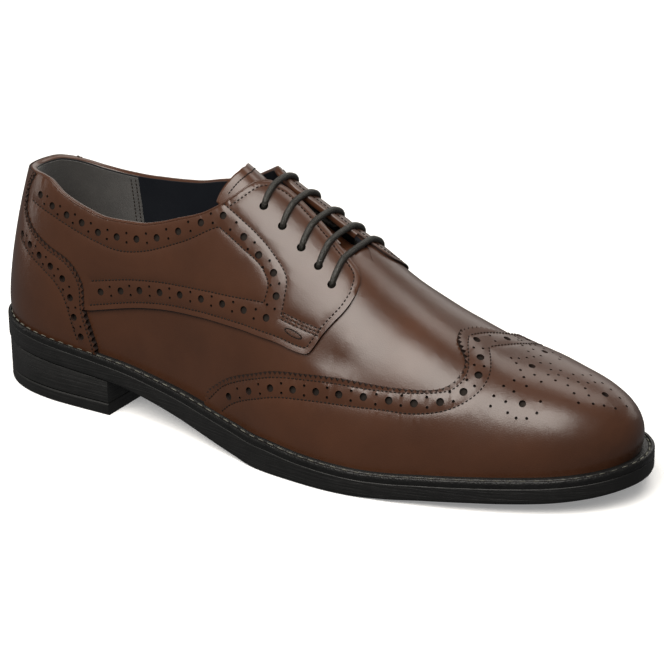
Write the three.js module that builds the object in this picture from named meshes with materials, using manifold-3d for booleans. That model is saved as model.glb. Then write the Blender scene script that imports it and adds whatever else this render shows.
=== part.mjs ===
// A right-foot derby brogue with an open laced front, in millimetres, +Z up.
// While it is modelled, x runs from the back of the heel to the toe tip and y towards the inner side
// of the foot; at the end the shoe is moved so that the middle of its footprint is the origin.
import * as THREE from 'three';
import { mergeVertices } from 'three/addons/utils/BufferGeometryUtils.js';
import Module from 'manifold-3d';

const wasm = await Module();
wasm.setup();

// Driving sizes
const soleLength = 305;
const ballWidth = 104;
const seatRise = 20;
const toeSpring = 9.2;
const soleEdgeHeight = 10;
const weltThickness = 3;
const weltShelf = 5;
const edgeChamfer = 1.2;
const heelRound = 45;
const toeRound = 62;
const toeSwing = 4.5;
const heelBreast = 70.4;
const heelInset = 0.5;
const topPieceThickness = 5.5;
const insoleRise = 1.6;
const instepHeight = 112;
const heelPole = 38;
const toePole = 44;
const poleSoftness = 8;
const upperWall = 2;
const overlayWall = 1.4;
const tongueWall = 2;
const clearance = 0.3;
const facetMargin = 0.3;
const eyeletRadius = 2.3;
const laceRadius = 1.4;
const laceLift = 0.4;
const laceSteps = 72;
const laceSides = 6;

// Stations along the sole, as shares of its length
const stations = [
  0, 0.003, 0.012, 0.028, 0.051, 0.08, 0.12, 0.165, 0.215, 0.265, 0.307, 0.345, 0.38, 0.408, 0.432,
  0.447, 0.465, 0.49, 0.52, 0.55, 0.575, 0.592, 0.61, 0.645, 0.685, 0.725, 0.765, 0.805, 0.845,
  0.885, 0.92, 0.95, 0.972, 0.987, 0.9965, 1,
];

// Turns a header and rows into a list of rows with named columns
const table = (names, rows) =>
  rows.map(row => Object.fromEntries(names.map((name, column) => [name, row[column]])));

// Half widths of the sole edge, before its ends are rounded: at is a share of the length,
// the widths are shares of half the ball width
const edgeRows = table(['at', 'lateral', 'medial'], [
  [0.000, 0.61, 0.635],
  [0.100, 0.60, 0.64],
  [0.180, 0.62, 0.65],
  [0.262, 0.64, 0.625],
  [0.344, 0.70, 0.59],
  [0.443, 0.83, 0.605],
  [0.541, 0.96, 0.73],
  [0.623, 1.00, 0.885],
  [0.695, 0.962, 0.98],
  [0.770, 0.886, 1.00],
  [0.836, 0.80, 0.96],
  [0.902, 0.754, 0.885],
  [1.000, 0.742, 0.83],
]);

// The sole from the side: the underside is a share of the seat rise plus a share of the toe
// spring, and the height of its edge is a share of the forefoot's
const sideRows = table(['at', 'seat', 'spring', 'edge'], [
  [0.000, 1.000, 0.00, 1.14],
  [0.131, 0.900, 0.00, 1.09],
  [0.243, 0.780, 0.00, 1.02],
  [0.311, 0.600, 0.00, 1.09],
  [0.361, 0.440, 0.00, 1.18],
  [0.410, 0.270, 0.00, 1.27],
  [0.459, 0.115, 0.00, 1.34],
  [0.508, 0.000, 0.00, 1.37],
  [0.575, 0.000, 0.00, 1.19],
  [0.656, 0.000, 0.00, 1.08],
  [0.705, 0.000, 0.11, 1.02],
  [0.754, 0.000, 0.28, 0.99],
  [0.803, 0.000, 0.40, 0.98],
  [0.852, 0.000, 0.48, 0.99],
  [0.902, 0.000, 0.57, 0.99],
  [0.951, 0.000, 0.74, 0.97],
  [1.000, 0.000, 1.00, 0.96],
]);

// The last above the sole: the crest is a share of the instep height, its sideways place a share
// of the toe's swing, and the shelf a share of the welt's
const crestRows = table(['at', 'crest', 'sway', 'shelf'], [
  [0.000, 1.190, 0.00, 0.80],
  [0.200, 1.205, 0.00, 0.80],
  [0.310, 1.180, -0.20, 0.85],
  [0.393, 1.095, -0.60, 0.92],
  [0.459, 0.991, -1.20, 0.97],
  [0.525, 0.880, -1.10, 1.02],
  [0.590, 0.765, -0.90, 1.08],
  [0.656, 0.650, -0.90, 1.14],
  [0.721, 0.570, -1.80, 1.18],
  [0.787, 0.487, -1.40, 1.20],
  [0.856, 0.428, -0.30, 1.24],
  [0.918, 0.395, 0.40, 1.28],
  [1.000, 0.355, 1.00, 1.30],
]);

// The shape of each cross section, without units: how far the wall leans out, how high it stays
// steep and how flat the crown is, on the outer and the inner side of the foot
const sectionRows = table(['at', 'leanOut', 'wallOut', 'crownOut', 'leanIn', 'wallIn', 'crownIn'], [
  [0.00, 0.13, 0.12, 0.45, 0.13, 0.12, 0.45],
  [0.10, 0.10, 0.16, 0.72, 0.12, 0.17, 0.73],
  [0.23, 0.07, 0.20, 0.79, 0.02, 0.24, 0.79],
  [0.36, 0.04, 0.24, 0.77, -0.04, 0.33, 0.83],
  [0.46, 0.04, 0.25, 0.69, -0.02, 0.44, 0.86],
  [0.56, 0.03, 0.23, 0.65, 0.01, 0.43, 0.83],
  [0.66, 0.02, 0.24, 0.74, 0.00, 0.28, 0.79],
  [0.75, 0.02, 0.25, 0.83, -0.01, 0.22, 0.86],
  [0.86, 0.04, 0.42, 0.80, 0.04, 0.41, 0.80],
  [0.93, 0.07, 0.60, 0.75, 0.07, 0.60, 0.75],
  [1.00, 0.11, 0.73, 0.75, 0.11, 0.73, 0.75],
]);

// Edges drawn on the last: at is a share of the length, rise runs from 0 at the welt to 1 on the crest
const topLine = table(['at', 'lateral', 'medial'], [
  [0.000, 0.568, 0.568],
  [0.014, 0.571, 0.568],
  [0.050, 0.574, 0.553],
  [0.078, 0.574, 0.535],
  [0.108, 0.567, 0.516],
  [0.147, 0.530, 0.502],
  [0.189, 0.502, 0.497],
  [0.224, 0.488, 0.500],
  [0.278, 0.497, 0.515],
  [0.313, 0.520, 0.538],
  [0.348, 0.563, 0.572],
  [0.381, 0.618, 0.622],
  [0.411, 0.698, 0.700],
  [0.433, 0.795, 0.795],
  [0.447, 0.885, 0.885],
  [0.461, 0.945, 0.930],
  [0.486, 0.984, 0.958],
  [0.523, 0.965, 0.940],
  [0.558, 0.932, 0.930],
  [0.575, 0.922, 0.926],
  [0.589, 0.940, 0.940],
  [0.610, 1.000, 1.000],
  [1.000, 1.000, 1.000],
]);
const wingEdge = table(['at', 'rise'], [
  [0.395, -0.040],
  [0.400, 0.000],
  [0.406, 0.070],
  [0.421, 0.121],
  [0.442, 0.176],
  [0.477, 0.241],
  [0.514, 0.302],
  [0.576, 0.377],
  [0.640, 0.448],
  [0.710, 0.513],
  [0.754, 0.578],
  [0.773, 0.658],
  [0.779, 0.745],
]);
const wingPeak = table(['at', 'rise'], [
  [0.744, 1.000],
  [0.752, 0.925],
  [0.761, 0.885],
  [0.770, 0.850],
  [0.777, 0.800],
  [0.779, 0.745],
]);
const quarterLow = table(['at', 'rise'], [
  [0.030, 0.170],
  [0.196, 0.196],
  [0.219, 0.211],
  [0.284, 0.256],
  [0.354, 0.297],
  [0.421, 0.342],
  [0.517, 0.411],
  [0.570, 0.442],
  [0.589, 0.548],
  [0.601, 0.623],
  [0.607, 0.663],
  [0.613, 0.726],
  [0.615, 0.775],
]);
const quarterHigh = table(['at', 'rise'], [
  [0.030, 0.680],
  [0.380, 0.720],
  [0.420, 0.980],
  [0.550, 0.990],
  [0.566, 0.921],
  [0.589, 0.899],
  [0.606, 0.876],
  [0.613, 0.836],
  [0.615, 0.785],
]);
const counterEdge = table(['rise', 'at'], [
  [-0.040, 0.210],
  [0.030, 0.210],
  [0.126, 0.201],
  [0.201, 0.192],
  [0.266, 0.191],
  [0.317, 0.179],
  [0.352, 0.158],
  [0.377, 0.124],
  [0.422, 0.082],
  [0.467, 0.061],
  [0.518, 0.058],
  [0.568, 0.074],
  [0.660, 0.090],
]);
const eyeletRows = table(['at', 'lateral', 'medial'], [
  [0.467, 0.809, 0.830],
  [0.498, 0.794, 0.820],
  [0.530, 0.774, 0.800],
  [0.558, 0.759, 0.785],
  [0.582, 0.734, 0.765],
]);
const tongueTop = table(['rise', 'at'], [
  [0.640, 0.385],
  [0.673, 0.387],
  [0.814, 0.405],
  [0.900, 0.415],
  [1.000, 0.421],
]);
const tongueLow = table(['at', 'rise'], [
  [0.385, 0.670],
  [0.410, 0.660],
  [0.450, 0.670],
  [0.550, 0.650],
  [0.630, 0.690],
]);

const signs = { lateral: -1, medial: 1 };
const sides = ['lateral', 'medial'];

// Monotone cubic through one column of a table, read at a value of another column
function reader(rows, column, along = 'at') {
  const x = rows.map(row => row[along]);
  const y = rows.map(row => row[column]);
  const step = x.slice(1).map((value, i) => value - x[i]);
  const rate = step.map((width, i) => (y[i + 1] - y[i]) / width);
  const slope = x.map((_, i) => {
    if (i === 0) return rate[0];
    if (i === rate.length) return rate[i - 1];
    if (rate[i - 1] * rate[i] <= 0) return 0;
    const before = 2 * step[i] + step[i - 1];
    const after = step[i] + 2 * step[i - 1];
    return (before + after) / (before / rate[i - 1] + after / rate[i]);
  });
  return value => {
    const last = x.length - 2;
    let i = 0;
    while (i < last && value > x[i + 1]) i += 1;
    if (value <= x[0]) return y[0];
    if (value >= x[last + 1]) return y[last + 1];
    const t = (value - x[i]) / step[i];
    const s = 1 - t;
    return y[i] * (1 + 2 * t) * s * s + slope[i] * step[i] * t * s * s
      + y[i + 1] * (3 - 2 * t) * t * t - slope[i + 1] * step[i] * s * t * t;
  };
}

const read = {
  width: { lateral: reader(edgeRows, 'lateral'), medial: reader(edgeRows, 'medial') },
  seat: reader(sideRows, 'seat'),
  spring: reader(sideRows, 'spring'),
  edge: reader(sideRows, 'edge'),
  crest: reader(crestRows, 'crest'),
  sway: reader(crestRows, 'sway'),
  shelf: reader(crestRows, 'shelf'),
  lean: { lateral: reader(sectionRows, 'leanOut'), medial: reader(sectionRows, 'leanIn') },
  wall: { lateral: reader(sectionRows, 'wallOut'), medial: reader(sectionRows, 'wallIn') },
  crown: { lateral: reader(sectionRows, 'crownOut'), medial: reader(sectionRows, 'crownIn') },
};

// Heights of the sole's parts over the floor
const underside = x => seatRise * read.seat(x / soleLength) + toeSpring * read.spring(x / soleLength);
const weltTop = x => underside(x) + soleEdgeHeight * read.edge(x / soleLength);
const weltBottom = x => weltTop(x) - weltThickness;
const outsoleTop = x => weltBottom(x) - clearance;
const featherInset = x => weltShelf * read.shelf(x / soleLength);
const wallInset = x => featherInset(x) + upperWall + clearance;

// A point of the sole's edge in plan
function edgePoint(at, side) {
  const x = at * soleLength;
  const heel = Math.max(0, 1 - x / heelRound);
  const toe = Math.max(0, 1 - (soleLength - x) / toeRound);
  const round = Math.sqrt(Math.max(0, 1 - heel * heel)) * Math.sqrt(Math.max(0, 1 - toe * toe));
  const width = ballWidth / 2 * read.width[side](at) * round;
  const forward = Math.max(0, (at - 0.656) / 0.344);
  return new THREE.Vector2(x, signs[side] * width + toeSwing * forward * forward);
}

// The same point moved inwards, square to the edge
function insetPoint(at, side, inset) {
  const angle = Math.acos(1 - 2 * at);
  const share = turn => (1 - Math.cos(turn)) / 2;
  const small = 1e-4;
  const point = edgePoint(at, side);
  const inwards = new THREE.Vector2(at < 0.5 ? 1 : -1, 0);
  if (angle > small && angle < Math.PI - small) {
    const along = edgePoint(share(angle + small), side).sub(edgePoint(share(angle - small), side));
    inwards.set(-along.y, along.x).multiplyScalar(-signs[side]).normalize();
  }
  return point.addScaledVector(inwards, inset);
}

// The last's surface
const softly = distance => poleSoftness * Math.log1p(Math.exp(distance / poleSoftness));

function lastPoint(at, rise, side) {
  const edgeX = at * soleLength;
  const base = insetPoint(at, side, featherInset(edgeX));
  const spineX = heelPole + softly(edgeX - heelPole) - softly(edgeX - soleLength + toePole);
  const spineY = toeSwing * read.sway(spineX / soleLength);
  const falling = 1 - rise;
  const early = 3 * falling * falling * rise;
  const late = 3 * falling * rise * rise;
  const end = rise ** 3;
  const across = -early * read.lean[side](at) + late * (1 - read.crown[side](at)) + end;
  const up = early * read.wall[side](at) + late + end;
  const x = base.x + (spineX - base.x) * across;
  const y = base.y + (spineY - base.y) * across;
  const foot = weltTop(edgeX);
  const crest = instepHeight * read.crest(x / soleLength);
  return new THREE.Vector3(x, y, foot + (crest - foot) * up);
}

// A sheet is a list of points with triangles between them, its outer face to the right hand
class Sheet {
  constructor() {
    this.points = [];
    this.triangles = [];
    this.index = new Map();
  }

  add(point, at) {
    const key = point.toArray().map(value => Math.round(value * 1e4)).join();
    if (!this.index.has(key)) {
      this.index.set(key, this.points.length);
      this.points.push({ place: point, at });
    }
    return this.index.get(key);
  }

  triangle(a, b, c) {
    if (a !== b && b !== c && c !== a) this.triangles.push([a, b, c]);
  }

  // Rows of points: columns run forwards on the outer side and backwards on the inner one
  grid(columns) {
    columns.slice(1).forEach((next, i) => {
      const column = columns[i];
      column.slice(1).forEach((top, j) => {
        this.triangle(column[j], next[j], next[j + 1]);
        this.triangle(column[j], next[j + 1], top);
      });
    });
  }

  normals() {
    const sums = this.points.map(() => new THREE.Vector3());
    this.triangles.forEach(corners => {
      const [a, b, c] = corners.map(corner => this.points[corner].place);
      const normal = new THREE.Vector3().subVectors(b, a).cross(new THREE.Vector3().subVectors(c, a));
      corners.forEach(corner => sums[corner].add(normal));
    });
    return sums.map(sum => sum.normalize());
  }
}

// One side of a patch: the chart gives at and rise for shares along and up
function patchSide(sheet, side, along, up, chart) {
  const columns = along.map(p => up.map(q => {
    const [at, rise] = chart(p, q);
    return sheet.add(lastPoint(at, rise, side), at);
  }));
  sheet.grid(side === 'lateral' ? columns : columns.reverse());
}

// A chart between two edges
const ruled = (low, high) => (at, q) => [at, low(at) + (high(at) - low(at)) * q];

const shares = count => Array.from({ length: count + 1 }, (_, i) => i / count);
const between = (low, high) => stations.filter(at => at > low + 0.003 && at < high - 0.003);
const span = (low, high) => [low, ...between(low, high), high];

function geometryOf(places, triangles) {
  const corners = triangles.flat().flatMap(corner => places[corner].toArray());
  const geometry = new THREE.BufferGeometry();
  geometry.setAttribute('position', new THREE.Float32BufferAttribute(corners, 3));
  return mergeVertices(geometry, 1e-4);
}

// A closed body between two offsets of a sheet; an offset is a length or a function of at
function thicken(sheet, inner, outer) {
  const normals = sheet.normals();
  const count = sheet.points.length;
  const move = offset => sheet.points.map(({ place, at }, i) => {
    const distance = typeof offset === 'function' ? offset(at) : offset;
    return place.clone().addScaledVector(normals[i], distance);
  });
  const places = [...move(outer), ...move(inner)];
  const triangles = [];
  const edges = new Set(sheet.triangles.flatMap(([a, b, c]) => [`${a},${b}`, `${b},${c}`, `${c},${a}`]));
  sheet.triangles.forEach(([a, b, c]) => {
    triangles.push([a, b, c], [c + count, b + count, a + count]);
    [[a, b], [b, c], [c, a]].forEach(([from, to]) => {
      if (edges.has(`${to},${from}`)) return;
      triangles.push([from, from + count, to + count], [from, to + count, to]);
    });
  });
  return geometryOf(places, triangles);
}

// Joining and cutting
function solid(geometry) {
  const plain = geometry.index ? geometry : geometry.clone();
  plain.deleteAttribute('normal');
  plain.deleteAttribute('uv');
  const merged = mergeVertices(plain, 1e-4);
  return new wasm.Manifold(new wasm.Mesh({
    numProp: 3,
    vertProperties: new Float32Array(merged.attributes.position.array),
    triVerts: new Uint32Array(merged.index.array),
  }));
}

function geometryFrom(body) {
  const mesh = body.getMesh();
  const geometry = new THREE.BufferGeometry();
  geometry.setAttribute('position', new THREE.BufferAttribute(mesh.vertProperties, 3));
  geometry.setIndex(new THREE.BufferAttribute(mesh.triVerts, 1));
  return geometry;
}

// Rings of the sole's outline, stacked from the bottom up; the ends are closed across the foot
function ring(ats, inset, height) {
  const place = side => at => {
    const x = at * soleLength;
    const plan = insetPoint(at, side, typeof inset === 'function' ? inset(x) : inset);
    return new THREE.Vector3(plan.x, plan.y, height(plan.x));
  };
  return [...ats.map(place('lateral')), ...[...ats].reverse().map(place('medial'))];
}

function walls(rings, closed) {
  const size = rings[0].length;
  const triangles = [];
  const count = closed ? rings.length : rings.length - 1;
  for (let level = 0; level < count; level += 1) {
    const low = level * size;
    const high = ((level + 1) % rings.length) * size;
    for (let i = 0; i < size; i += 1) {
      const next = (i + 1) % size;
      triangles.push([low + i, low + next, high + next], [low + i, high + next, high + i]);
    }
  }
  return triangles;
}

function withoutFlat(places, triangles) {
  return triangles.filter(([a, b, c]) =>
    places[a].distanceTo(places[b]) > 1e-3 && places[b].distanceTo(places[c]) > 1e-3
    && places[c].distanceTo(places[a]) > 1e-3);
}

function slab(rings) {
  const size = rings[0].length;
  const top = (rings.length - 1) * size;
  const triangles = walls(rings, false);
  for (let i = 0; i < size / 2 - 1; i += 1) {
    const far = size - 1 - i;
    triangles.push([i, far, far - 1], [i, far - 1, i + 1]);
    triangles.push([top + i, top + far - 1, top + far], [top + i, top + i + 1, top + far - 1]);
  }
  const places = rings.flat();
  return geometryOf(places, withoutFlat(places, triangles));
}

function band(rings) {
  const places = rings.flat();
  return geometryOf(places, withoutFlat(places, walls(rings, true)));
}

// Materials
const leather = new THREE.MeshStandardMaterial({ color: 0x5a3826, roughness: 0.4, metalness: 0 });
const lining = new THREE.MeshStandardMaterial({ color: 0x3a3632, roughness: 0.8, metalness: 0 });
const rubber = new THREE.MeshStandardMaterial({ color: 0x1c1c1d, roughness: 0.65, metalness: 0 });
const cotton = new THREE.MeshStandardMaterial({ color: 0x2c2a27, roughness: 0.6, metalness: 0 });

const group = new THREE.Group();
function piece(name, geometry, material) {
  const mesh = new THREE.Mesh(geometry, material);
  mesh.name = name;
  group.add(mesh);
}

// Sole: outsole, welt, heel and insole
function outsole() {
  return slab([
    ring(stations, edgeChamfer, underside),
    ring(stations, 0, x => underside(x) + edgeChamfer),
    ring(stations, 0, outsoleTop),
  ]);
}

function welt() {
  return band([
    ring(stations, clearance, weltBottom),
    ring(stations, 0, x => weltBottom(x) + weltThickness / 2),
    ring(stations, edgeChamfer / 2, weltTop),
    ring(stations, wallInset, weltTop),
    ring(stations, wallInset, weltBottom),
  ]);
}

const heelStations = [...stations.filter(at => at * soleLength < heelBreast - 2), heelBreast / soleLength];

function heelBlock() {
  const foot = () => topPieceThickness + clearance;
  return slab([
    ring(heelStations, heelInset, foot),
    ring(heelStations, heelInset, x => underside(x) - clearance),
  ]);
}

function heelTopPiece() {
  return slab([
    ring(heelStations, heelInset + edgeChamfer / 2, () => 0),
    ring(heelStations, heelInset, () => edgeChamfer / 2),
    ring(heelStations, heelInset, () => topPieceThickness),
  ]);
}

function insole() {
  const inset = x => wallInset(x) + clearance;
  return slab([
    ring(stations, inset, weltBottom),
    ring(stations, inset, x => weltTop(x) + insoleRise),
  ]);
}

piece('outsole', outsole(), rubber);
piece('welt', welt(), rubber);
piece('heel_block', heelBlock(), rubber);
piece('heel_top_piece', heelTopPiece(), rubber);
piece('insole', insole(), lining);

// Everything below the upper's lower rim
const wide = -upperWall * 10;
const soleSpace = solid(slab([
  ring(stations, wide, () => wide),
  ring(stations, wide, x => weltTop(x) + clearance),
]));

// The upper's own form, from under the welt's top to the top line, open where it is laced
const readTop = { lateral: reader(topLine, 'lateral'), medial: reader(topLine, 'medial') };
const lowest = -0.04;

function upperSheet() {
  const sheet = new Sheet();
  sides.forEach(side => {
    patchSide(sheet, side, stations, shares(7), ruled(() => lowest, readTop[side]));
  });
  return sheet;
}

const form = upperSheet();
const shell = solid(thicken(form, -upperWall, 0));
const outer = solid(thicken(form, clearance, clearance + overlayWall));

// A patch cuts its piece out of the overlay form
const reach = 4;
function patch(along, up, chart) {
  const sheet = new Sheet();
  sides.forEach(side => patchSide(sheet, side, along, up, chart));
  return solid(thicken(sheet, -reach, reach));
}

function patchOf(side, along, up, chart) {
  const sheet = new Sheet();
  patchSide(sheet, side, along, up, chart);
  return solid(thicken(sheet, -reach, reach));
}

function wingPatch() {
  const low = () => lowest - 0.02;
  const edge = reader(wingEdge, 'rise');
  const peak = reader(wingPeak, 'rise');
  const start = wingEdge[0].at;
  const valley = wingEdge.at(-1).at;
  const bend = wingEdge.slice(-3).map(row => row.at);
  const lap = 0.002;
  const flank = patch([...span(start, bend[0]), ...bend.slice(1)], shares(5), ruled(low, edge));
  const toe = patch(span(valley - lap, 1), shares(6), ruled(low, () => 1));
  const crown = patch(wingPeak.map(row => row.at), shares(2), ruled(peak, () => 1));
  return flank.add(toe).add(crown);
}

function counterPatch(extra) {
  const edge = reader(counterEdge, 'at', 'rise');
  const bottom = counterEdge[0].rise;
  const top = counterEdge.at(-1).rise;
  const rows = counterEdge.map(row => (row.rise - bottom) / (top - bottom));
  return patch(shares(7), rows, (p, q) => {
    const rise = bottom + (top - bottom) * q;
    return [p * (edge(rise) + extra / soleLength), rise];
  });
}

function quarterPatch(side) {
  const low = reader(quarterLow, 'rise');
  const high = reader(quarterHigh, 'rise');
  const start = quarterLow[0].at;
  const end = quarterLow.at(-1).at;
  const along = [...span(start, quarterLow.at(-4).at), ...quarterLow.slice(-3).map(row => row.at)];
  return patchOf(side, along.filter(at => at <= end), shares(6), ruled(low, high));
}

// Holes for the lace, square to the leather
function chartFrame(at, rise, side) {
  const small = 1e-3;
  const place = lastPoint(at, rise, side);
  const forward = lastPoint(at + small, rise, side).sub(place);
  const up = lastPoint(at, rise + small, side).sub(place);
  const normal = forward.cross(up).multiplyScalar(-signs[side]).normalize();
  return { place, normal };
}

function eyelet(row, side) {
  const { place, normal } = chartFrame(row.at, row[side], side);
  const drill = new THREE.CylinderGeometry(eyeletRadius, eyeletRadius, 3 * reach, 8);
  drill.applyQuaternion(new THREE.Quaternion().setFromUnitVectors(new THREE.Vector3(0, 1, 0), normal));
  drill.translate(...place.toArray());
  return solid(drill);
}

const eyelets = sides.flatMap(side => eyeletRows.map(row => eyelet(row, side)));
const drilled = body => eyelets.reduce((rest, hole) => rest.subtract(hole), body);

function overlay(cutter) {
  return geometryFrom(drilled(outer.intersect(cutter)).subtract(soleSpace));
}

piece('upper', geometryFrom(drilled(shell).subtract(soleSpace)), leather);
piece('wing_cap', overlay(wingPatch()), leather);
piece('heel_counter', overlay(counterPatch(0)), leather);
sides.forEach(side => {
  const cutter = quarterPatch(side).subtract(counterPatch(clearance));
  piece(`quarter_${side}`, overlay(cutter), leather);
});

// Tongue, low enough under the facings to leave room for the lace
const laceRoom = 2 * laceRadius + clearance + laceLift;
const tongueFront = tongueLow.at(-1).at;
const tongueBend = 0.594;

function tongueFace(at) {
  const easing = THREE.MathUtils.smoothstep(at, tongueBend, tongueFront);
  return -(upperWall + clearance + facetMargin + laceRoom * (1 - easing));
}

function tongue() {
  const low = reader(tongueLow, 'rise');
  const top = reader(tongueTop, 'at', 'rise');
  const start = tongueLow[0].at;
  const sheet = new Sheet();
  const chart = (station, q) => {
    const rise = low(station) + (1 - low(station)) * q;
    const share = (station - start) / (tongueFront - start);
    return [top(rise) + (tongueFront - top(rise)) * share, rise];
  };
  sides.forEach(side => patchSide(sheet, side, span(start, tongueFront), shares(5), chart));
  return thicken(sheet, at => tongueFace(at) - tongueWall, tongueFace);
}

piece('tongue', tongue(), leather);

// Lace: straight bars over the opening, joined under the facings from one bar to the next
function laceBar(row, from, to) {
  const over = clearance + overlayWall + laceRadius + laceLift;
  const under = -(upperWall + laceRadius + laceLift);
  const half = side => {
    const at = (step, height) => {
      const { place, normal } = chartFrame(row.at, row[side] + step, side);
      return place.addScaledVector(normal, height);
    };
    return [at(0, under), at(0, 0), at(0.01, 0.9 * over), at(0.07, over), at(0.13, over)];
  };
  return [...half(from), ...half(to).reverse()];
}

function lace() {
  const turns = eyeletRows.slice().reverse();
  const points = turns.flatMap((row, i) => {
    const [from, to] = i % 2 === 0 ? ['lateral', 'medial'] : ['medial', 'lateral'];
    return laceBar(row, from, to);
  });
  const path = new THREE.CatmullRomCurve3(points, false, 'centripetal');
  const section = new THREE.Shape();
  shares(laceSides).slice(0, -1).forEach((turn, i) => {
    const corner = [laceRadius * Math.cos(turn * 2 * Math.PI), laceRadius * Math.sin(turn * 2 * Math.PI)];
    if (i === 0) section.moveTo(...corner);
    else section.lineTo(...corner);
  });
  section.closePath();
  return new THREE.ExtrudeGeometry(section, { steps: laceSteps, extrudePath: path });
}

const laceGeometry = lace();
laceGeometry.deleteAttribute('normal');
laceGeometry.deleteAttribute('uv');
piece('lace', mergeVertices(laceGeometry, 1e-4), cotton);

// The origin is the middle of the footprint
const box = new THREE.Box3().setFromObject(group);
const middle = box.getCenter(new THREE.Vector3());
group.position.set(-middle.x, -middle.y, -box.min.z);
group.updateMatrixWorld(true);

export default group;
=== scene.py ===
# %% [markdown]
# # A brown derby brogue, right shoe
# The real shoe is pulled over a wooden last: flat leather patterns are cut, punched and stitched
# on a table and only then drawn over the last. This script works in the same order. Each pattern
# is cut flat, holes and edges are worked flat, and one function draws it over the last.

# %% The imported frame
import math
import bmesh
import bpy
import numpy as np
from mathutils import Matrix, Vector
from mathutils.geometry import delaunay_2d_cdt
from mathutils.kdtree import KDTree


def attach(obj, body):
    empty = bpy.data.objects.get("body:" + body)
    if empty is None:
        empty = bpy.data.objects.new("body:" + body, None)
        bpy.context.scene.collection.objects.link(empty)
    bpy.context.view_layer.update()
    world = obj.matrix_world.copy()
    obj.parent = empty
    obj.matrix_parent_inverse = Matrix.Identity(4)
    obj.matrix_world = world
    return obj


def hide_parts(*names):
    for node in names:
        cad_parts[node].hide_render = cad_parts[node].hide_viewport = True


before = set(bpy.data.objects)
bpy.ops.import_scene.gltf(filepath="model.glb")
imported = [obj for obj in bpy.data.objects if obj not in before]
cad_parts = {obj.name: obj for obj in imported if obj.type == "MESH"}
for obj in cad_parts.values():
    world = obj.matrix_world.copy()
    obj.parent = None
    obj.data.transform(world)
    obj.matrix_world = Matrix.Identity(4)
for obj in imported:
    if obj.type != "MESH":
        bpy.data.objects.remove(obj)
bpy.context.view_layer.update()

# %% [markdown]
# ## Camera
# The photograph looks down at the outer side from the front of the heel. The camera keeps that
# angle, and a small shift puts the shoe where it stands in the picture.

# %% Camera
target = Vector((-0.0025, -0.00026, 0.040))
azimuth = math.radians(31.5)
elevation = math.radians(22.0)
roll = math.radians(-1.0)
back = Vector((math.sin(azimuth) * math.cos(elevation),
               -math.cos(azimuth) * math.cos(elevation),
               math.sin(elevation)))
right = Vector((math.cos(azimuth), math.sin(azimuth), 0))
above = back.cross(right)
turned_right = right * math.cos(roll) + above * math.sin(roll)
turned_up = above * math.cos(roll) - right * math.sin(roll)
camera = bpy.data.objects.new("camera", bpy.data.cameras.new("camera"))
bpy.context.scene.collection.objects.link(camera)
camera.matrix_world = Matrix((
    (turned_right[0], turned_up[0], back[0], target[0] + back[0] * 1.05),
    (turned_right[1], turned_up[1], back[1], target[1] + back[1] * 1.05),
    (turned_right[2], turned_up[2], back[2], target[2] + back[2] * 1.05),
    (0, 0, 0, 1),
))
camera.data.lens = 135.8
camera.data.sensor_width = 36
camera.data.shift_x = 0.0421
camera.data.shift_y = 0.0087
camera.data.clip_end = 20
bpy.context.scene.camera = camera
print("camera at", [round(c, 3) for c in camera.matrix_world.translation])

# %% [markdown]
# ## The last
# The last is the form the whole upper lies on. It is a family of curves: each starts on the
# feather line above the welt and climbs to the crest. A place on it has two numbers: u runs from
# the heel, 0, to the toe, pi, and v from the outer welt, -1, over the crest, 0, to the inner
# welt, 1. The same tables drive the CAD model, so both models share one form.

# %% Tables of the last
length = 305.0
half_ball = 52.0
swing = 4.5
instep = 112.0
heel_pole = 38.0
toe_pole = 44.0
softness = 8.0
shelf = 5.0
origin = np.array([152.5, 0.261, 0.0])

edge_rows = np.array([
    (0.000, 0.61, 0.635), (0.100, 0.60, 0.64), (0.180, 0.62, 0.65), (0.262, 0.64, 0.625),
    (0.344, 0.70, 0.59), (0.443, 0.83, 0.605), (0.541, 0.96, 0.73), (0.623, 1.00, 0.885),
    (0.695, 0.962, 0.98), (0.770, 0.886, 1.00), (0.836, 0.80, 0.96), (0.902, 0.754, 0.885),
    (1.000, 0.742, 0.83)])
side_rows = np.array([
    (0.000, 1.000, 0.00, 1.14), (0.131, 0.900, 0.00, 1.09), (0.243, 0.780, 0.00, 1.02),
    (0.311, 0.600, 0.00, 1.09), (0.361, 0.440, 0.00, 1.18), (0.410, 0.270, 0.00, 1.27),
    (0.459, 0.115, 0.00, 1.34), (0.508, 0.000, 0.00, 1.37), (0.575, 0.000, 0.00, 1.19),
    (0.656, 0.000, 0.00, 1.08), (0.705, 0.000, 0.11, 1.02), (0.754, 0.000, 0.28, 0.99),
    (0.803, 0.000, 0.40, 0.98), (0.852, 0.000, 0.48, 0.99), (0.902, 0.000, 0.57, 0.99),
    (0.951, 0.000, 0.74, 0.97), (1.000, 0.000, 1.00, 0.96)])
crest_rows = np.array([
    (0.000, 1.190, 0.00, 0.80), (0.200, 1.205, 0.00, 0.80), (0.310, 1.180, -0.20, 0.85),
    (0.393, 1.095, -0.60, 0.92), (0.459, 0.991, -1.20, 0.97), (0.525, 0.880, -1.10, 1.02),
    (0.590, 0.765, -0.90, 1.08), (0.656, 0.650, -0.90, 1.14), (0.721, 0.570, -1.80, 1.18),
    (0.787, 0.487, -1.40, 1.20), (0.856, 0.428, -0.30, 1.24), (0.918, 0.395, 0.40, 1.28),
    (1.000, 0.355, 1.00, 1.30)])
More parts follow.
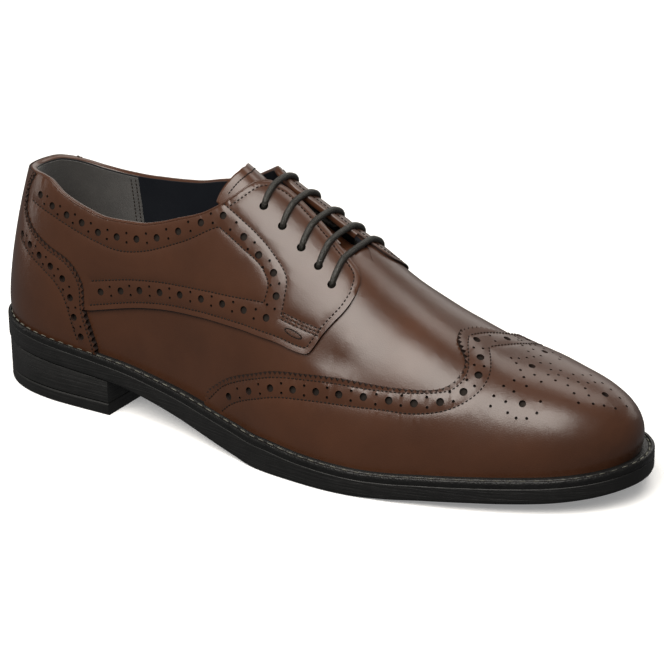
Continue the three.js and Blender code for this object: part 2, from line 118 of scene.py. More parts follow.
section_rows = np.array([
    (0.00, 0.13, 0.12, 0.45, 0.13, 0.12, 0.45), (0.10, 0.10, 0.16, 0.72, 0.12, 0.17, 0.73),
    (0.23, 0.07, 0.20, 0.79, 0.02, 0.24, 0.79), (0.36, 0.04, 0.24, 0.77, -0.04, 0.33, 0.83),
    (0.46, 0.04, 0.25, 0.69, -0.02, 0.44, 0.86), (0.56, 0.03, 0.23, 0.65, 0.01, 0.43, 0.83),
    (0.66, 0.02, 0.24, 0.74, 0.00, 0.28, 0.79), (0.75, 0.02, 0.25, 0.83, -0.01, 0.22, 0.86),
    (0.86, 0.04, 0.42, 0.80, 0.04, 0.41, 0.80), (0.93, 0.07, 0.60, 0.75, 0.07, 0.60, 0.75),
    (1.00, 0.11, 0.73, 0.75, 0.11, 0.73, 0.75)])


def monotone(rows, column, along=0):
    """A smooth curve through one column of a table that never overshoots its points."""
    x, y = np.array(rows)[:, along], np.array(rows)[:, column]
    step = np.diff(x)
    rate = np.diff(y) / step
    slope = np.zeros(len(x))
    slope[0], slope[-1] = rate[0], rate[-1]
    for i in range(1, len(x) - 1):
        if rate[i - 1] * rate[i] > 0:
            before = 2 * step[i] + step[i - 1]
            after = step[i] + 2 * step[i - 1]
            slope[i] = (before + after) / (before / rate[i - 1] + after / rate[i])

    at = np.linspace(x[0], x[-1], 12001)
    i = np.clip(np.searchsorted(x, at, side="left") - 1, 0, len(x) - 2)
    t = (at - x[i]) / step[i]
    s = 1 - t
    fine = (y[i] * (1 + 2 * t) * s * s + slope[i] * step[i] * t * s * s
            + y[i + 1] * (3 - 2 * t) * t * t - slope[i + 1] * step[i] * s * t * t)
    return lambda place_at: np.interp(place_at, at, fine)


def unit(vectors):
    return vectors / np.linalg.norm(vectors, axis=-1, keepdims=True)


width_out, width_in = monotone(edge_rows, 1), monotone(edge_rows, 2)
seat_rise, toe_rise, edge_high = (monotone(side_rows, k) for k in (1, 2, 3))
crest_high, crest_sway, shelf_wide = (monotone(crest_rows, k) for k in (1, 2, 3))
lean_out, wall_out, crown_out, lean_in, wall_in, crown_in = (
    monotone(section_rows, k) for k in range(1, 7))

# %% The last as a function


def share(u):
    """How far along the sole a place is, from 0 at the heel to 1 at the toe."""
    return (1 - np.cos(u)) / 2


def angle(at):
    return np.arccos(1 - 2 * np.clip(np.asarray(at, float), 0, 1))


def underside(x):
    return 20 * seat_rise(x / length) + 9.2 * toe_rise(x / length)


def welt_top(x):
    return underside(x) + 10 * edge_high(x / length)


def wrapped(u, v):
    """Past the heel or the toe the chart goes on along the other side of the foot."""
    u, v = np.broadcast_arrays(np.asarray(u, float), np.asarray(v, float))
    low, high = u < 0, u > np.pi
    return np.where(low, -u, np.where(high, 2 * np.pi - u, u)), np.where(low | high, -v, v)


def sole_edge(u, side):
    """The sole's outline in plan, in millimetres; side is -1 outside and 1 inside."""
    u, side = wrapped(u, side)
    at = share(u)
    x = at * length
    heel = np.clip(1 - x / 45, 0, None)
    toe = np.clip(1 - (length - x) / 62, 0, None)
    rounding = np.sqrt(np.clip(1 - heel**2, 0, 1)) * np.sqrt(np.clip(1 - toe**2, 0, 1))
    wide = half_ball * np.where(side < 0, width_out(at), width_in(at)) * rounding
    forward = np.clip((at - 0.656) / 0.344, 0, None)
    return np.stack([x, side * wide + swing * forward**2], -1)


def inset_edge(u, side, inset):
    """The outline moved inwards, square to itself."""
    small = 1e-4
    along = sole_edge(u + small, side) - sole_edge(u - small, side)
    inwards = np.stack([-along[..., 1], along[..., 0]], -1)
    inwards = unit(inwards)
    sign = -np.asarray(side, float)[..., None]
    return sole_edge(u, side) + inwards * sign * np.asarray(inset, float)[..., None]


def spine(x0):
    """The crest's place in plan over each station of the sole, round at heel and toe."""
    soft = lambda d: softness * np.log1p(np.exp(d / softness))
    x = heel_pole + soft(x0 - heel_pole) - soft(x0 - length + toe_pole)
    return x, swing * crest_sway(x / length)


def last_form(u, v):
    """A point of the last in millimetres, from the back of the heel."""
    u, v = wrapped(u, v)
    side = np.where(v < 0, -1.0, 1.0)
    rise = 1 - np.abs(v)
    at = share(u)
    x0 = at * length
    base = inset_edge(u, side, shelf * shelf_wide(at))
    spine_x, spine_y = spine(x0)
    lean = np.where(side < 0, lean_out(at), lean_in(at))
    wall = np.where(side < 0, wall_out(at), wall_in(at))
    crown = np.where(side < 0, crown_out(at), crown_in(at))
    fall = 1 - rise
    early, late, end = 3 * fall**2 * rise, 3 * fall * rise**2, rise**3
    across = -early * lean + late * (1 - crown) + end
    up = early * wall + late + end
    x = base[..., 0] + (spine_x - base[..., 0]) * across
    y = base[..., 1] + (spine_y - base[..., 1]) * across
    foot = welt_top(x0)
    return np.stack([x, y, foot + (instep * crest_high(x / length) - foot) * up], -1)


# %% [markdown]
# ## Soft creases
# Leather over the last isn't a perfect form: the vamp has a few shallow waves beside the
# facings. They are wide, low bumps added to the last's own distance, so every layer of leather
# follows them.

# %% Waves and the skin

waves = (
    # u, v, radius along, radius across, height in millimetres
    (1.800, -0.520, 0.060, 0.060, -0.85),
    (1.835, -0.560, 0.045, 0.050, 0.75),
    (1.770, -0.610, 0.060, 0.045, 0.60),
    (1.790, 0.480, 0.060, 0.060, -0.45),
    (1.840, 0.520, 0.060, 0.050, 0.35),
)


def wave(u, v):
    u, v = wrapped(u, v)
    total = np.zeros_like(u)
    for u0, v0, along, across, height in waves:
        total = total + height * np.exp(-((u - u0) / along) ** 2 - ((v - v0) / across) ** 2)
    return total


def skin_normal(u, v):
    small = 2e-3
    du = last_form(u + small, v) - last_form(u - small, v)
    dv = last_form(u, v + small) - last_form(u, v - small)
    normal = np.cross(du, dv) + np.array([0, 0, 1e-7])
    return unit(normal)


def skin(u, v, lift=0.0):
    """A point at a height over the last, in millimetres."""
    lift = np.asarray(lift, float) + wave(u, v)
    return last_form(u, v) + skin_normal(u, v) * lift[..., None]


def metres(points):
    return (np.asarray(points) - origin) * 0.001


print("crest at the instep", np.round(metres(last_form(angle(0.4), 0.0)), 4))

# %% [markdown]
# ## Flat patterns
# A chart turns the last's two numbers into a flat drawing and back. Most patterns use a plain
# one. The toe needs another, because the outer and inner side meet there: seen from above, each
# curve of the last is drawn as a straight line from the crest to the feather line. The wing cap
# and the upper are then one flat piece each, without a seam.

# %% Charts


class PlainChart:
    def flat(self, u, v):
        return np.stack([100 * np.asarray(u), 75 * np.asarray(v)], -1)

    def uv(self, p):
        return p[..., 0] / 100, p[..., 1] / 75


class PlanChart:
    """Each curve of the last becomes a straight line from the crest to the feather line."""

    def __init__(self):
        self.u = np.linspace(0, np.pi, 3001)
        at = share(self.u)
        self.spine = np.stack(spine(at * length), -1)
        wide = shelf * shelf_wide(at)
        self.base = {side: inset_edge(self.u, np.full(len(at), float(side)), wide)
                     for side in (-1, 1)}
        self.ridge = np.vstack([self.base[1][:1], self.spine, self.base[1][-1:]])

    def lines(self, u, side):
        read = lambda table: np.stack([np.interp(u, self.u, table[:, k]) for k in (0, 1)], -1)
        out = read(self.base[-1])
        home = read(self.base[1])
        return read(self.spine), np.where(side[..., None] < 0, out, home)

    def flat(self, u, v):
        u, v = np.broadcast_arrays(np.asarray(u, float), np.asarray(v, float))
        start, end = self.lines(u, np.where(v < 0, -1, 1))
        return start + (end - start) * np.abs(v)[..., None]

    def uv(self, p):
        p = np.asarray(p, float)
        side = np.where(p[..., 1] < np.interp(p[..., 0], self.ridge[:, 0], self.ridge[:, 1]),
                        -1, 1)
        low, high = np.zeros(p.shape[:-1]), np.full(p.shape[:-1], np.pi)
        for _ in range(26):
            middle = (low + high) / 2
            start, end = self.lines(middle, side)
            ray, off = end - start, p - start
            ahead = (ray[..., 0] * off[..., 1] - ray[..., 1] * off[..., 0]) * side < 0
            low, high = np.where(ahead, middle, low), np.where(ahead, high, middle)
        u = (low + high) / 2
        start, end = self.lines(u, side)
        ray, off = end - start, p - start
        return u, side * (ray * off).sum(-1) / np.maximum((ray * ray).sum(-1), 1e-9)


plain, plan = PlainChart(), PlanChart()


def place(chart, p, lift=0.0):
    return skin(*chart.uv(p), lift)


def slopes(chart, p):
    small = 0.02
    dx, dy = np.array([small, 0]), np.array([0, small])
    return ((place(chart, p + dx) - place(chart, p - dx)) / (2 * small),
            (place(chart, p + dy) - place(chart, p - dy)) / (2 * small))


def find(chart, wanted, start, steps=5):
    """The flat places that lie nearest to points in space, by a few Newton steps."""
    p = np.array(start, float)
    for _ in range(steps):
        a, b = slopes(chart, p)
        miss = wanted - place(chart, p)
        aa, bb, ab = (a * a).sum(-1), (b * b).sum(-1), (a * b).sum(-1)
        am, bm_ = (a * miss).sum(-1), (b * miss).sum(-1)
        det = np.maximum(aa * bb - ab * ab, 1e-9)
        move = np.stack([(bb * am - ab * bm_) / det, (aa * bm_ - ab * am) / det], -1)
        size = np.linalg.norm(move, axis=-1, keepdims=True)
        p = p + move * np.minimum(1, 12 / np.maximum(size, 1e-9))
    return p


def spaced(chart, line, pitch, closed=False):
    """The same flat line with its points an even distance apart on the leather."""
    line = np.array(line, float)
    if closed:
        line = np.vstack([line, line[:1]])
    fine = np.vstack([a + (b - a) * np.linspace(0, 1, 13)[:-1, None]
                      for a, b in zip(line[:-1], line[1:])] + [line[-1:]])
    run = np.concatenate([[0], np.cumsum(np.linalg.norm(np.diff(place(chart, fine), axis=0),
                                                        axis=-1))])
    count = max(2, int(round(run[-1] / pitch)))
    at = np.linspace(0, run[-1], count + 1)
    if closed:
        at = at[:-1]
    return np.stack([np.interp(at, run, fine[:, k]) for k in (0, 1)], -1)


def smoothed(rows, count=None):
    """A curve through a few points given as share of length and rise, as chart numbers."""
    rows = np.array(rows, float)
    run = np.concatenate([[0], np.cumsum(np.hypot(*(np.diff(rows, axis=0) * [3, 1]).T))])
    at = np.linspace(0, run[-1], count or 16 * len(rows))
    slope = np.gradient(rows, run, axis=0)
    i = np.clip(np.searchsorted(run, at) - 1, 0, len(run) - 2)
    h = (run[i + 1] - run[i])[:, None]
    t = ((at - run[i]) / (run[i + 1] - run[i]))[:, None]
    return (rows[i] * (1 + 2 * t) * (1 - t) ** 2 + slope[i] * h * t * (1 - t) ** 2
            + rows[i + 1] * (3 - 2 * t) * t**2 - slope[i + 1] * h * (1 - t) * t**2)


def drawn(chart, rows, side, smooth=True, count=None):
    """A line from rows of share and rise on one side of the foot, in a chart's flat drawing."""
    rows = smoothed(rows, count) if smooth else np.array(rows, float)
    return chart.flat(angle(rows[:, 0]), side * (1 - rows[:, 1]))


def beside(chart, line, distance):
    """A flat line moved sideways over the leather; positive is to its left, seen from outside."""
    points = place(chart, line)
    along = np.gradient(points, axis=0)
    u, v = chart.uv(line)
    left = np.cross(skin_normal(u, v), along)
    left = unit(left)
    return find(chart, points + left * np.asarray(distance, float).reshape(-1, 1), line, 3)


def ringed(chart, centres, radius, count):
    """The outlines of round holes on the leather, as flat loops."""
    centres = np.array(centres, float).reshape(-1, 2)
    a, b = slopes(chart, centres)
    a = unit(a)
    normal = np.cross(a, b)
    normal = unit(normal)
    b = np.cross(normal, a)
    turn = (np.arange(count) * 2 * np.pi / count)[None, :, None]
    ring = np.cos(turn) * a[:, None] + np.sin(turn) * b[:, None]
    points = place(chart, centres)[:, None] + radius * ring
    start = np.repeat(centres[:, None], count, 1)
    return list(find(chart, points, start, 5))


def inside(points, loop):
    """Which points lie inside a closed flat loop."""
    result = np.zeros(len(points), bool)
    ends = np.roll(loop, -1, axis=0)
    for (x0, y0), (x1, y1) in zip(loop, ends):
        if y0 == y1:
            continue
        crosses = (points[:, 1] >= min(y0, y1)) & (points[:, 1] < max(y0, y1))
        x = x0 + (points[:, 1] - y0) * (x1 - x0) / (y1 - y0)
        result ^= crosses & (points[:, 0] < x)
    return result


# %% [markdown]
# ## Cutting a pattern
# The flat outline, the holes and the places of the stitches become one net of triangles. Its
# open edges are extruded downwards for the cut edge of the leather and the walls of the holes.
# Stitched lines pull the leather in, so the net sinks a little along them. Last, every corner is
# moved to its place over the last.

# %% Cutting helper


def grid_points(chart, loop, gap):
    """Places about one gap apart over a pattern, thinned so that none crowd together."""
    u, v = chart.uv(loop)
    us = np.linspace(u.min(), u.max(), 260)
    vs = np.linspace(v.min(), v.max(), 200)
    uu, vv = (g.ravel() for g in np.meshgrid(us, vs, indexing="ij"))
    flat = chart.flat(uu, vv)
    keep = inside(flat, loop)
    flat, uu, vv = flat[keep], uu[keep], vv[keep]
    cell = np.floor(last_form(uu, vv) / gap).astype(int)
    _, first = np.unique(cell, axis=0, return_index=True)
    return flat[np.sort(first)]


def distances(points, others):
    """How far each point is from the nearest of the others."""
    tree = KDTree(len(others))
    for i, p in enumerate(others):
        tree.insert(p, i)
    tree.balance()
    return np.array([tree.find(p)[2] for p in points])


def thinned(chart, points, gap):
    """Drops points that crowd others, first come first kept."""
    kept = []
    taken = {}
    for p, q in zip(points, place(chart, points)):
        key = tuple(np.floor(q / gap).astype(int))
        near = [taken[k] for k in ((key[0] + i, key[1] + j, key[2] + l)
                                  for i in (-1, 0, 1) for j in (-1, 0, 1) for l in (-1, 0, 1))
                if k in taken]
        if any(np.linalg.norm(q - other) < gap for other in near):
            continue
        taken[key] = q
        kept.append(p)
    return np.array(kept)


def cut_pattern(name, chart, loop, top, low, holes=(), seams=(), folded=(), gap=2.6,
                materials=(), wall_material=0, floor_material=0, closed_back=False,
                sink=0.36, roll=0.5):
    """One piece of leather on the last: holes are (loop, floor height or None)."""
    loops = [np.array(loop)] + [np.array(h[0]) for h in holes]
    rims = place(chart, np.vstack(loops))
    rows = [np.zeros((0, 2))]
    for seam in seams:
        seam = spaced(chart, seam, 1.3)
        rows += [seam, beside(chart, seam, 0.55), beside(chart, seam, -0.55)]
    for edge in folded:
        edge = spaced(chart, edge, 1.6)
        rows += [beside(chart, edge, 0.45), beside(chart, edge, 1.1)]
    rows = np.vstack(rows)
    if len(rows):
        keep = inside(rows, loops[0])
        for hole in loops[1:]:
            keep &= ~inside(rows, hole)
        rows = rows[keep]
        rows = rows[distances(place(chart, rows), rims) > 0.3]
        rows = thinned(chart, rows, 0.3)
    fill = grid_points(chart, loops[0], gap)
    for hole in loops[1:]:
        fill = fill[~inside(fill, hole)]
    known = np.vstack([rims, place(chart, rows)]) if len(rows) else rims
    fill = fill[distances(place(chart, fill), known) > gap * 0.42]
    points = np.vstack(loops + [rows, fill])
    edges = []
    start = 0
    for ring in loops:
        edges += [(start + i, start + (i + 1) % len(ring)) for i in range(len(ring))]
        start += len(ring)
    coords, _, faces, _, _, _ = delaunay_2d_cdt(
        [Vector(p) for p in points], edges, [], 0, 1e-6)
    coords = np.array([tuple(c) for c in coords])
    faces = np.array([tuple(f) for f in faces])
    middle = coords[faces].mean(1)
    keep = inside(middle, loops[0])
    for hole in loops[1:]:
        keep &= ~inside(middle, hole)
    faces = faces[keep]

    lift = np.full(len(coords), float(top))
    where = place(chart, coords)
    if len(seams):
        line = place(chart, np.vstack([spaced(chart, s, 0.5) for s in seams]))
        near = distances(where, line)
        lift -= sink * np.clip(1 - (near / 0.9) ** 2, 0, 1)
    if len(folded):
        line = place(chart, np.vstack([spaced(chart, s, 0.5) for s in folded]))
        near = distances(where, line)
        lift -= roll * np.clip(1 - near / 1.1, 0, 1) ** 2

    bm = bmesh.new()
    verts = [bm.verts.new((*c, z)) for c, z in zip(coords, lift)]
    for face in faces:
        area = np.cross(coords[face[1]] - coords[face[0]], coords[face[2]] - coords[face[0]])
        if abs(area) < 1e-9:
            continue
        order = face if area > 0 else face[::-1]
        bm.faces.new([verts[i] for i in order])
    loose = [v for v in bm.verts if not v.link_faces]
    bmesh.ops.delete(bm, geom=loose, context="VERTS")
    for face in bm.faces:
        face.smooth = True
    back_set = set()
    if closed_back:
        copied = bmesh.ops.duplicate(bm, geom=bm.verts[:] + bm.edges[:] + bm.faces[:])
        back_faces = [g for g in copied["geom"] if isinstance(g, bmesh.types.BMFace)]
        back_set = set(back_faces)
        bmesh.ops.reverse_faces(bm, faces=back_faces)
    rim_tree = KDTree(sum(len(ring) for ring in loops))
    rim_floor = []
    for ring, floor in zip(loops, [low] + [h[1] for h in holes]):
        for p in ring:
            rim_tree.insert((p[0], p[1], 0), len(rim_floor))
            rim_floor.append(floor)
    rim_tree.balance()

    def floor_at(vert):
        _, index, _ = rim_tree.find((vert.co.x, vert.co.y, 0))
        return rim_floor[index]

    border = [e for e in bm.edges if e.is_boundary and e.link_faces[0] not in back_set]
    for edge in border:
        edge.smooth = False
    grown = bmesh.ops.extrude_edge_only(bm, edges=border)
    new_faces = [g for g in grown["geom"] if isinstance(g, bmesh.types.BMFace)]
    new_verts = [g for g in grown["geom"] if isinstance(g, bmesh.types.BMVert)]
    pit_rims = []
    for vert in new_verts:
        floor = floor_at(vert)
        vert.co.z = low if floor is None else floor
        if floor not in (None, low):
            pit_rims.append(vert)
    for face in new_faces:
        face.material_index = wall_material
        face.smooth = True
    if closed_back:
        for face in back_faces:
            face.material_index = wall_material
            for vert in face.verts:
                vert.co.z = low
    pit_set = set(pit_rims)
    pit_edges = [e for e in bm.edges
                 if e.is_boundary and e.verts[0] in pit_set and e.verts[1] in pit_set]
    filled = bmesh.ops.holes_fill(bm, edges=pit_edges, sides=60)
    for face in filled["faces"]:
        face.material_index = floor_material
    for edge in bm.edges:
        if len(edge.link_faces) == 2:
            a, b = edge.link_faces
            if a.material_index != b.material_index:
                edge.smooth = False
    flat = np.array([v.co[:] for v in bm.verts])
    shaped = metres(place(chart, flat[:, :2], flat[:, 2]))
    for vert, point in zip(bm.verts, shaped):
        vert.co = point
    bmesh.ops.remove_doubles(bm, verts=bm.verts[:], dist=2e-6)
    for edge in bm.edges:
        if len(edge.link_faces) == 2 and edge.calc_face_angle(0) > 0.85:
            edge.smooth = False
    mesh = bpy.data.meshes.new(name)
    bm.to_mesh(mesh)
    bm.free()
    return finished(name, mesh, materials)


def finished(name, mesh, materials):
    piece = bpy.data.objects.new(name, mesh)
    bpy.context.scene.collection.objects.link(piece)
    for material in materials:
        mesh.materials.append(material)
    print(name, len(mesh.polygons), "faces")
    return piece


# %% [markdown]
# ## Effects shared by the materials
# Leather, thread and rubber all need a little unevenness. Each effect is a node group with its
# own inputs, built once and used with other values in each material.

# %% Node groups


def new_group(name, inputs, outputs):
    group = bpy.data.node_groups.new(name, "ShaderNodeTree")
    for title, kind, value in inputs:
        socket = group.interface.new_socket(title, in_out="INPUT", socket_type=kind)
        if value is not None:
            socket.default_value = value
    for title, kind in outputs:
        group.interface.new_socket(title, in_out="OUTPUT", socket_type=kind)
    return group, group.nodes.new("NodeGroupInput"), group.nodes.new("NodeGroupOutput")


def add(tree, kind, inputs=None, **values):
    """A new node; an input is given as a value, or as the output it is joined to."""
    node = tree.nodes.new(kind)
    for key, value in values.items():
        setattr(node, key, value)
    for key, source in (inputs or {}).items():
        if isinstance(source, bpy.types.NodeSocket):
            tree.links.new(source, node.inputs[key])
        else:
            node.inputs[key].default_value = source
    return node


def object_place(tree):
    return add(tree, "ShaderNodeTexCoord").outputs["Object"]


def wander(tree, noise, amount, middle):
    """A noise turned into a value that wanders round a middle."""
    centre = add(tree, "ShaderNodeMath", {0: noise.outputs["Fac"], 1: 0.5},
                 operation="SUBTRACT")
    return add(tree, "ShaderNodeMath", {0: centre.outputs[0], 1: amount, 2: middle},
               operation="MULTIPLY_ADD", use_clamp=True).outputs[0]


# Mottling: two browns mixed by a slow noise
mottle, given, result = new_group(
    "mottling",
    [("Light", "NodeSocketColor", (0.2, 0.1, 0.05, 1)),
     ("Dark", "NodeSocketColor", (0.1, 0.05, 0.02, 1)),
     ("Size", "NodeSocketFloat", 30.0),
     ("Contrast", "NodeSocketFloat", 1.0)],
    [("Color", "NodeSocketColor"), ("Value", "NodeSocketFloat")])
slow = add(mottle, "ShaderNodeTexNoise", {
    "Vector": object_place(mottle), "Scale": given.outputs["Size"], "Detail": 4,
    "Roughness": 0.6})
share_light = wander(mottle, slow, given.outputs["Contrast"], 0.5)
blend = add(mottle, "ShaderNodeMix", {
    "Factor": share_light, 6: given.outputs["Dark"], 7: given.outputs["Light"]},
    data_type="RGBA")
mottle.links.new(blend.outputs[2], result.inputs["Color"])
mottle.links.new(share_light, result.inputs["Value"])

# Grain: the fine pebble of calf leather as a height
grain, given, result = new_group(
    "leather_grain",
    [("Size", "NodeSocketFloat", 2400.0), ("Coarse", "NodeSocketFloat", 0.35)],
    [("Height", "NodeSocketFloat")])
cells = add(grain, "ShaderNodeTexVoronoi", {
    "Vector": object_place(grain), "Scale": given.outputs["Size"], "Smoothness": 0.6},
    feature="SMOOTH_F1")
fine = add(grain, "ShaderNodeTexNoise", {
    "Vector": object_place(grain), "Scale": 420, "Detail": 5})
total = add(grain, "ShaderNodeMath", {
    0: fine.outputs["Fac"], 1: given.outputs["Coarse"], 2: cells.outputs["Distance"]},
    operation="MULTIPLY_ADD")
grain.links.new(total.outputs[0], result.inputs["Height"])

# Uneven sheen: roughness that wanders round a middle value
sheen, given, result = new_group(
    "uneven_gloss",
    [("Middle", "NodeSocketFloat", 0.4), ("Spread", "NodeSocketFloat", 0.1),
     ("Size", "NodeSocketFloat", 60.0)],
    [("Roughness", "NodeSocketFloat")])
noise = add(sheen, "ShaderNodeTexNoise", {
    "Vector": object_place(sheen), "Scale": given.outputs["Size"], "Detail": 6})
rough = wander(sheen, noise, given.outputs["Spread"], given.outputs["Middle"])
sheen.links.new(rough, result.inputs["Roughness"])

# Moulded lines: fine level streaks, as a rubber edge keeps from its mould and trimming
streaks, given, result = new_group(
    "moulded_lines", [("Fineness", "NodeSocketFloat", 900.0)],
    [("Height", "NodeSocketFloat")])
stretch = add(streaks, "ShaderNodeMapping", {
    "Vector": object_place(streaks), "Scale": (0.05, 0.05, 1.6)})
level = add(streaks, "ShaderNodeTexNoise", {
    "Vector": stretch.outputs["Vector"], "Scale": given.outputs["Fineness"], "Detail": 4})
streaks.links.new(level.outputs["Fac"], result.inputs["Height"])
print("4 effects")

# %% [markdown]
# ## Materials
# The leather is finished calf: a dark burnished brown with a soft shine. Cut edges and the
# walls of the punched holes are dyed almost black, and the floors of the holes are painted shade.
# The inside is smooth lining with a suede grip at the heel. Sole, welt and heel are black rubber,
# and the lace is waxed cotton.

# %% Material helper


def group_node(tree, group, **values):
    node = tree.nodes.new("ShaderNodeGroup")
    node.node_tree = group
    for key, value in values.items():
        node.inputs[key].default_value = value
    return node


def finish_material(name, light, dark, size=30, contrast=1.6, roughness=0.4, spread=0.15,
                    grain_size=2400, coarse=0.35, bump=0.12, depth=0.0002, lines=0.0,
                    **constants):
    """A Principled material with two mixed colours, an uneven sheen and a grain."""
    material = bpy.data.materials.new(name)
    material.use_nodes = True
    tree = material.node_tree
    shader = tree.nodes["Principled BSDF"]
    for key, value in constants.items():
        shader.inputs[key.replace("_", " ")].default_value = value
    colour = group_node(tree, mottle, Light=(*light, 1), Dark=(*dark, 1), Size=size,
                        Contrast=contrast)
    gloss = group_node(tree, sheen, Middle=roughness, Spread=spread, Size=size * 2.5)
    height = group_node(tree, grain, Size=grain_size, Coarse=coarse)
    relief = add(tree, "ShaderNodeBump", {
        "Strength": bump, "Distance": depth, "Height": height.outputs["Height"]})
    if lines:
        trimmed = group_node(tree, streaks, Fineness=900.0)
        relief = add(tree, "ShaderNodeBump", {
            "Strength": lines, "Distance": 0.0004, "Height": trimmed.outputs["Height"],
            "Normal": relief.outputs["Normal"]})
    tree.links.new(colour.outputs["Color"], shader.inputs["Base Color"])
    tree.links.new(gloss.outputs["Roughness"], shader.inputs["Roughness"])
    tree.links.new(relief.outputs["Normal"], shader.inputs["Normal"])
    return material


# %% All materials
calf = finish_material("calf_leather", (0.062, 0.023, 0.0105), (0.037, 0.0135, 0.0062),
                       size=28, roughness=0.31, spread=0.10, bump=0.14,
                       Specular_IOR_Level=0.5, Coat_Weight=0.10, Coat_Roughness=0.24)
# Dye on the cut edges, also used as painted shade on the strips below the pinked edges.
edge_dye_and_shade = finish_material("dyed_edge_and_painted_shade", (0.020, 0.011, 0.008), (0.010, 0.006, 0.005),
                           roughness=0.75, bump=0.3, Specular_IOR_Level=0.2)
# Floors of the punched holes: near black painted shade, where the leather below lies in the
# hole's shadow.
painted_hole_shade = finish_material("hole_floor_painted_shade", (0.022, 0.017, 0.014), (0.008, 0.006, 0.005),
                            size=300, roughness=0.85, bump=0.4, Specular_IOR_Level=0.15)
thread = finish_material("waxed_thread", (0.016, 0.009, 0.006), (0.007, 0.004, 0.003),
                         size=400, roughness=0.6, bump=0.3, grain_size=5200,
                         Specular_IOR_Level=0.2)
lining_smooth = finish_material("smooth_lining", (0.012, 0.014, 0.018), (0.006, 0.007, 0.010),
                                size=20, roughness=0.38, spread=0.2, bump=0.15)
suede = finish_material("suede_heel_grip", (0.030, 0.027, 0.024), (0.015, 0.013, 0.012),
                        size=120, contrast=2.2, roughness=0.95, spread=0.05, bump=0.6,
                        grain_size=3200, coarse=1.2, Sheen_Weight=0.5, Sheen_Roughness=0.5)
sock = finish_material("sock_lining", (0.030, 0.030, 0.032), (0.016, 0.016, 0.018),
                       size=60, roughness=0.6, bump=0.3)
rubber_sole = finish_material("sole_rubber", (0.0085, 0.0085, 0.0085), (0.004, 0.004, 0.004),
                              size=90, roughness=0.52, spread=0.3, grain_size=1600,
                              coarse=1.2, bump=0.35, lines=0.8,
                              Specular_IOR_Level=0.35)
rubber_welt = finish_material("welt_rubber", (0.008, 0.008, 0.008), (0.0035, 0.0035, 0.0035),
                              size=200, roughness=0.40, spread=0.3, grain_size=1300,
                              coarse=1.2, bump=0.6, Specular_IOR_Level=0.25)
rubber_heel = finish_material("heel_rubber", (0.0085, 0.0085, 0.0085), (0.004, 0.004, 0.004),
                              size=90, roughness=0.54, spread=0.3, grain_size=1600,
                              coarse=1.2, bump=0.35, lines=0.8,
                              Specular_IOR_Level=0.35)
welt_thread = finish_material("welt_thread", (0.150, 0.148, 0.120), (0.080, 0.080, 0.064),
                              size=500, roughness=0.7, bump=0.3, grain_size=5200)
cotton = finish_material("waxed_cotton", (0.022, 0.020, 0.016), (0.010, 0.009, 0.007),
                         size=300, roughness=0.50, spread=0.3, grain_size=1900, coarse=1.0,
                         bump=0.8, depth=0.0004)
print(len(bpy.data.materials), "materials")

# %% [markdown]
# ## Sole, welt and heel
# These are moulded rubber. Each is a stack of rings that follow the sole's outline: the first
# ring is one flat face, and every further ring is extruded from the one before and moved to its
# own inset and height.

# %% Ring stacks


def outline_ring(inset, height, count=150, until=np.pi):
    """One closed ring of the outline: outer side forwards, inner side back."""
    turn = np.linspace(0, until, count)
    out = inset_edge(turn, -np.ones(count), np.full(count, float(inset)))
    home = inset_edge(turn[::-1], np.ones(count), np.full(count, float(inset)))
    if until >= np.pi:
        plan = np.vstack([out, home[1:-1]])
    else:
        plan = np.vstack([out, home[:-1]])
    return np.column_stack([plan, np.broadcast_to(height(plan[:, 0]), len(plan))])


def ring_stack(name, rings, materials, band=False):
    bm = bmesh.new()
    station = bm.verts.layers.int.new("station")
    verts = []
    for i, point in enumerate(metres(rings[0])):
        vert = bm.verts.new(point)
        vert[station] = i
        verts.append(vert)
    edges = [bm.edges.new((verts[i], verts[(i + 1) % len(verts)])) for i in range(len(verts))]
    first = edges
    for ring in rings[1:]:
        points = metres(ring)
        grown = bmesh.ops.extrude_edge_only(bm, edges=edges)["geom"]
        edges = [g for g in grown if isinstance(g, bmesh.types.BMEdge)
                 and g.is_boundary]
        for vert in (g for g in grown if isinstance(g, bmesh.types.BMVert)):
            vert.co = points[vert[station]]
    if band:
        bmesh.ops.bridge_loops(bm, edges=first + edges)
    else:
        bmesh.ops.triangle_fill(bm, edges=first, use_beauty=True)
        bmesh.ops.triangle_fill(bm, edges=edges, use_beauty=True)
    bmesh.ops.recalc_face_normals(bm, faces=bm.faces[:])
    for face in bm.faces:
        face.smooth = True
    for edge in bm.edges:
        if len(edge.link_faces) == 2 and edge.calc_face_angle(0) > 0.6:
            edge.smooth = False
    mesh = bpy.data.meshes.new(name)
    bm.to_mesh(mesh)
    bm.free()
    return finished(name, mesh, materials)


def at_underside(add_height):
    return lambda x: underside(x) + add_height


def at_welt(add_height):
    return lambda x: welt_top(x) + add_height


def stacked(rows, height):
    """Rings from rows of inset and distance over a line of the sole."""
    return [outline_ring(inset, height(up)) for inset, up in rows]


outsole = ring_stack("outsole_dressed", stacked(
    ((5.0, 0.0), (1.0, 0.0), (0.35, 0.35), (0.05, 1.0), (0.0, 2.0)), at_underside)
    + stacked(((0.0, -3.35), (0.22, -3.08), (6.0, -3.08)), at_welt), [rubber_sole])
welt = ring_stack("welt_dressed", stacked((
    (5.5, -3.04), (0.25, -3.04), (0.05, -2.8), (0.0, -1.5), (0.1, -0.6), (0.45, -0.12),
    (0.9, 0.0), (1.35, -0.1), (1.7, -0.75), (2.35, -0.8), (2.7, -0.3), (3.1, -0.1),
    (5.5, -0.1)), at_welt), [rubber_welt], band=True)

breast = angle(70.4 / length)


def heel_rings(rows, height):
    return [outline_ring(inset, height(up), 80, breast) for inset, up in rows]


def above_floor(height):
    return lambda x: height + 0 * x


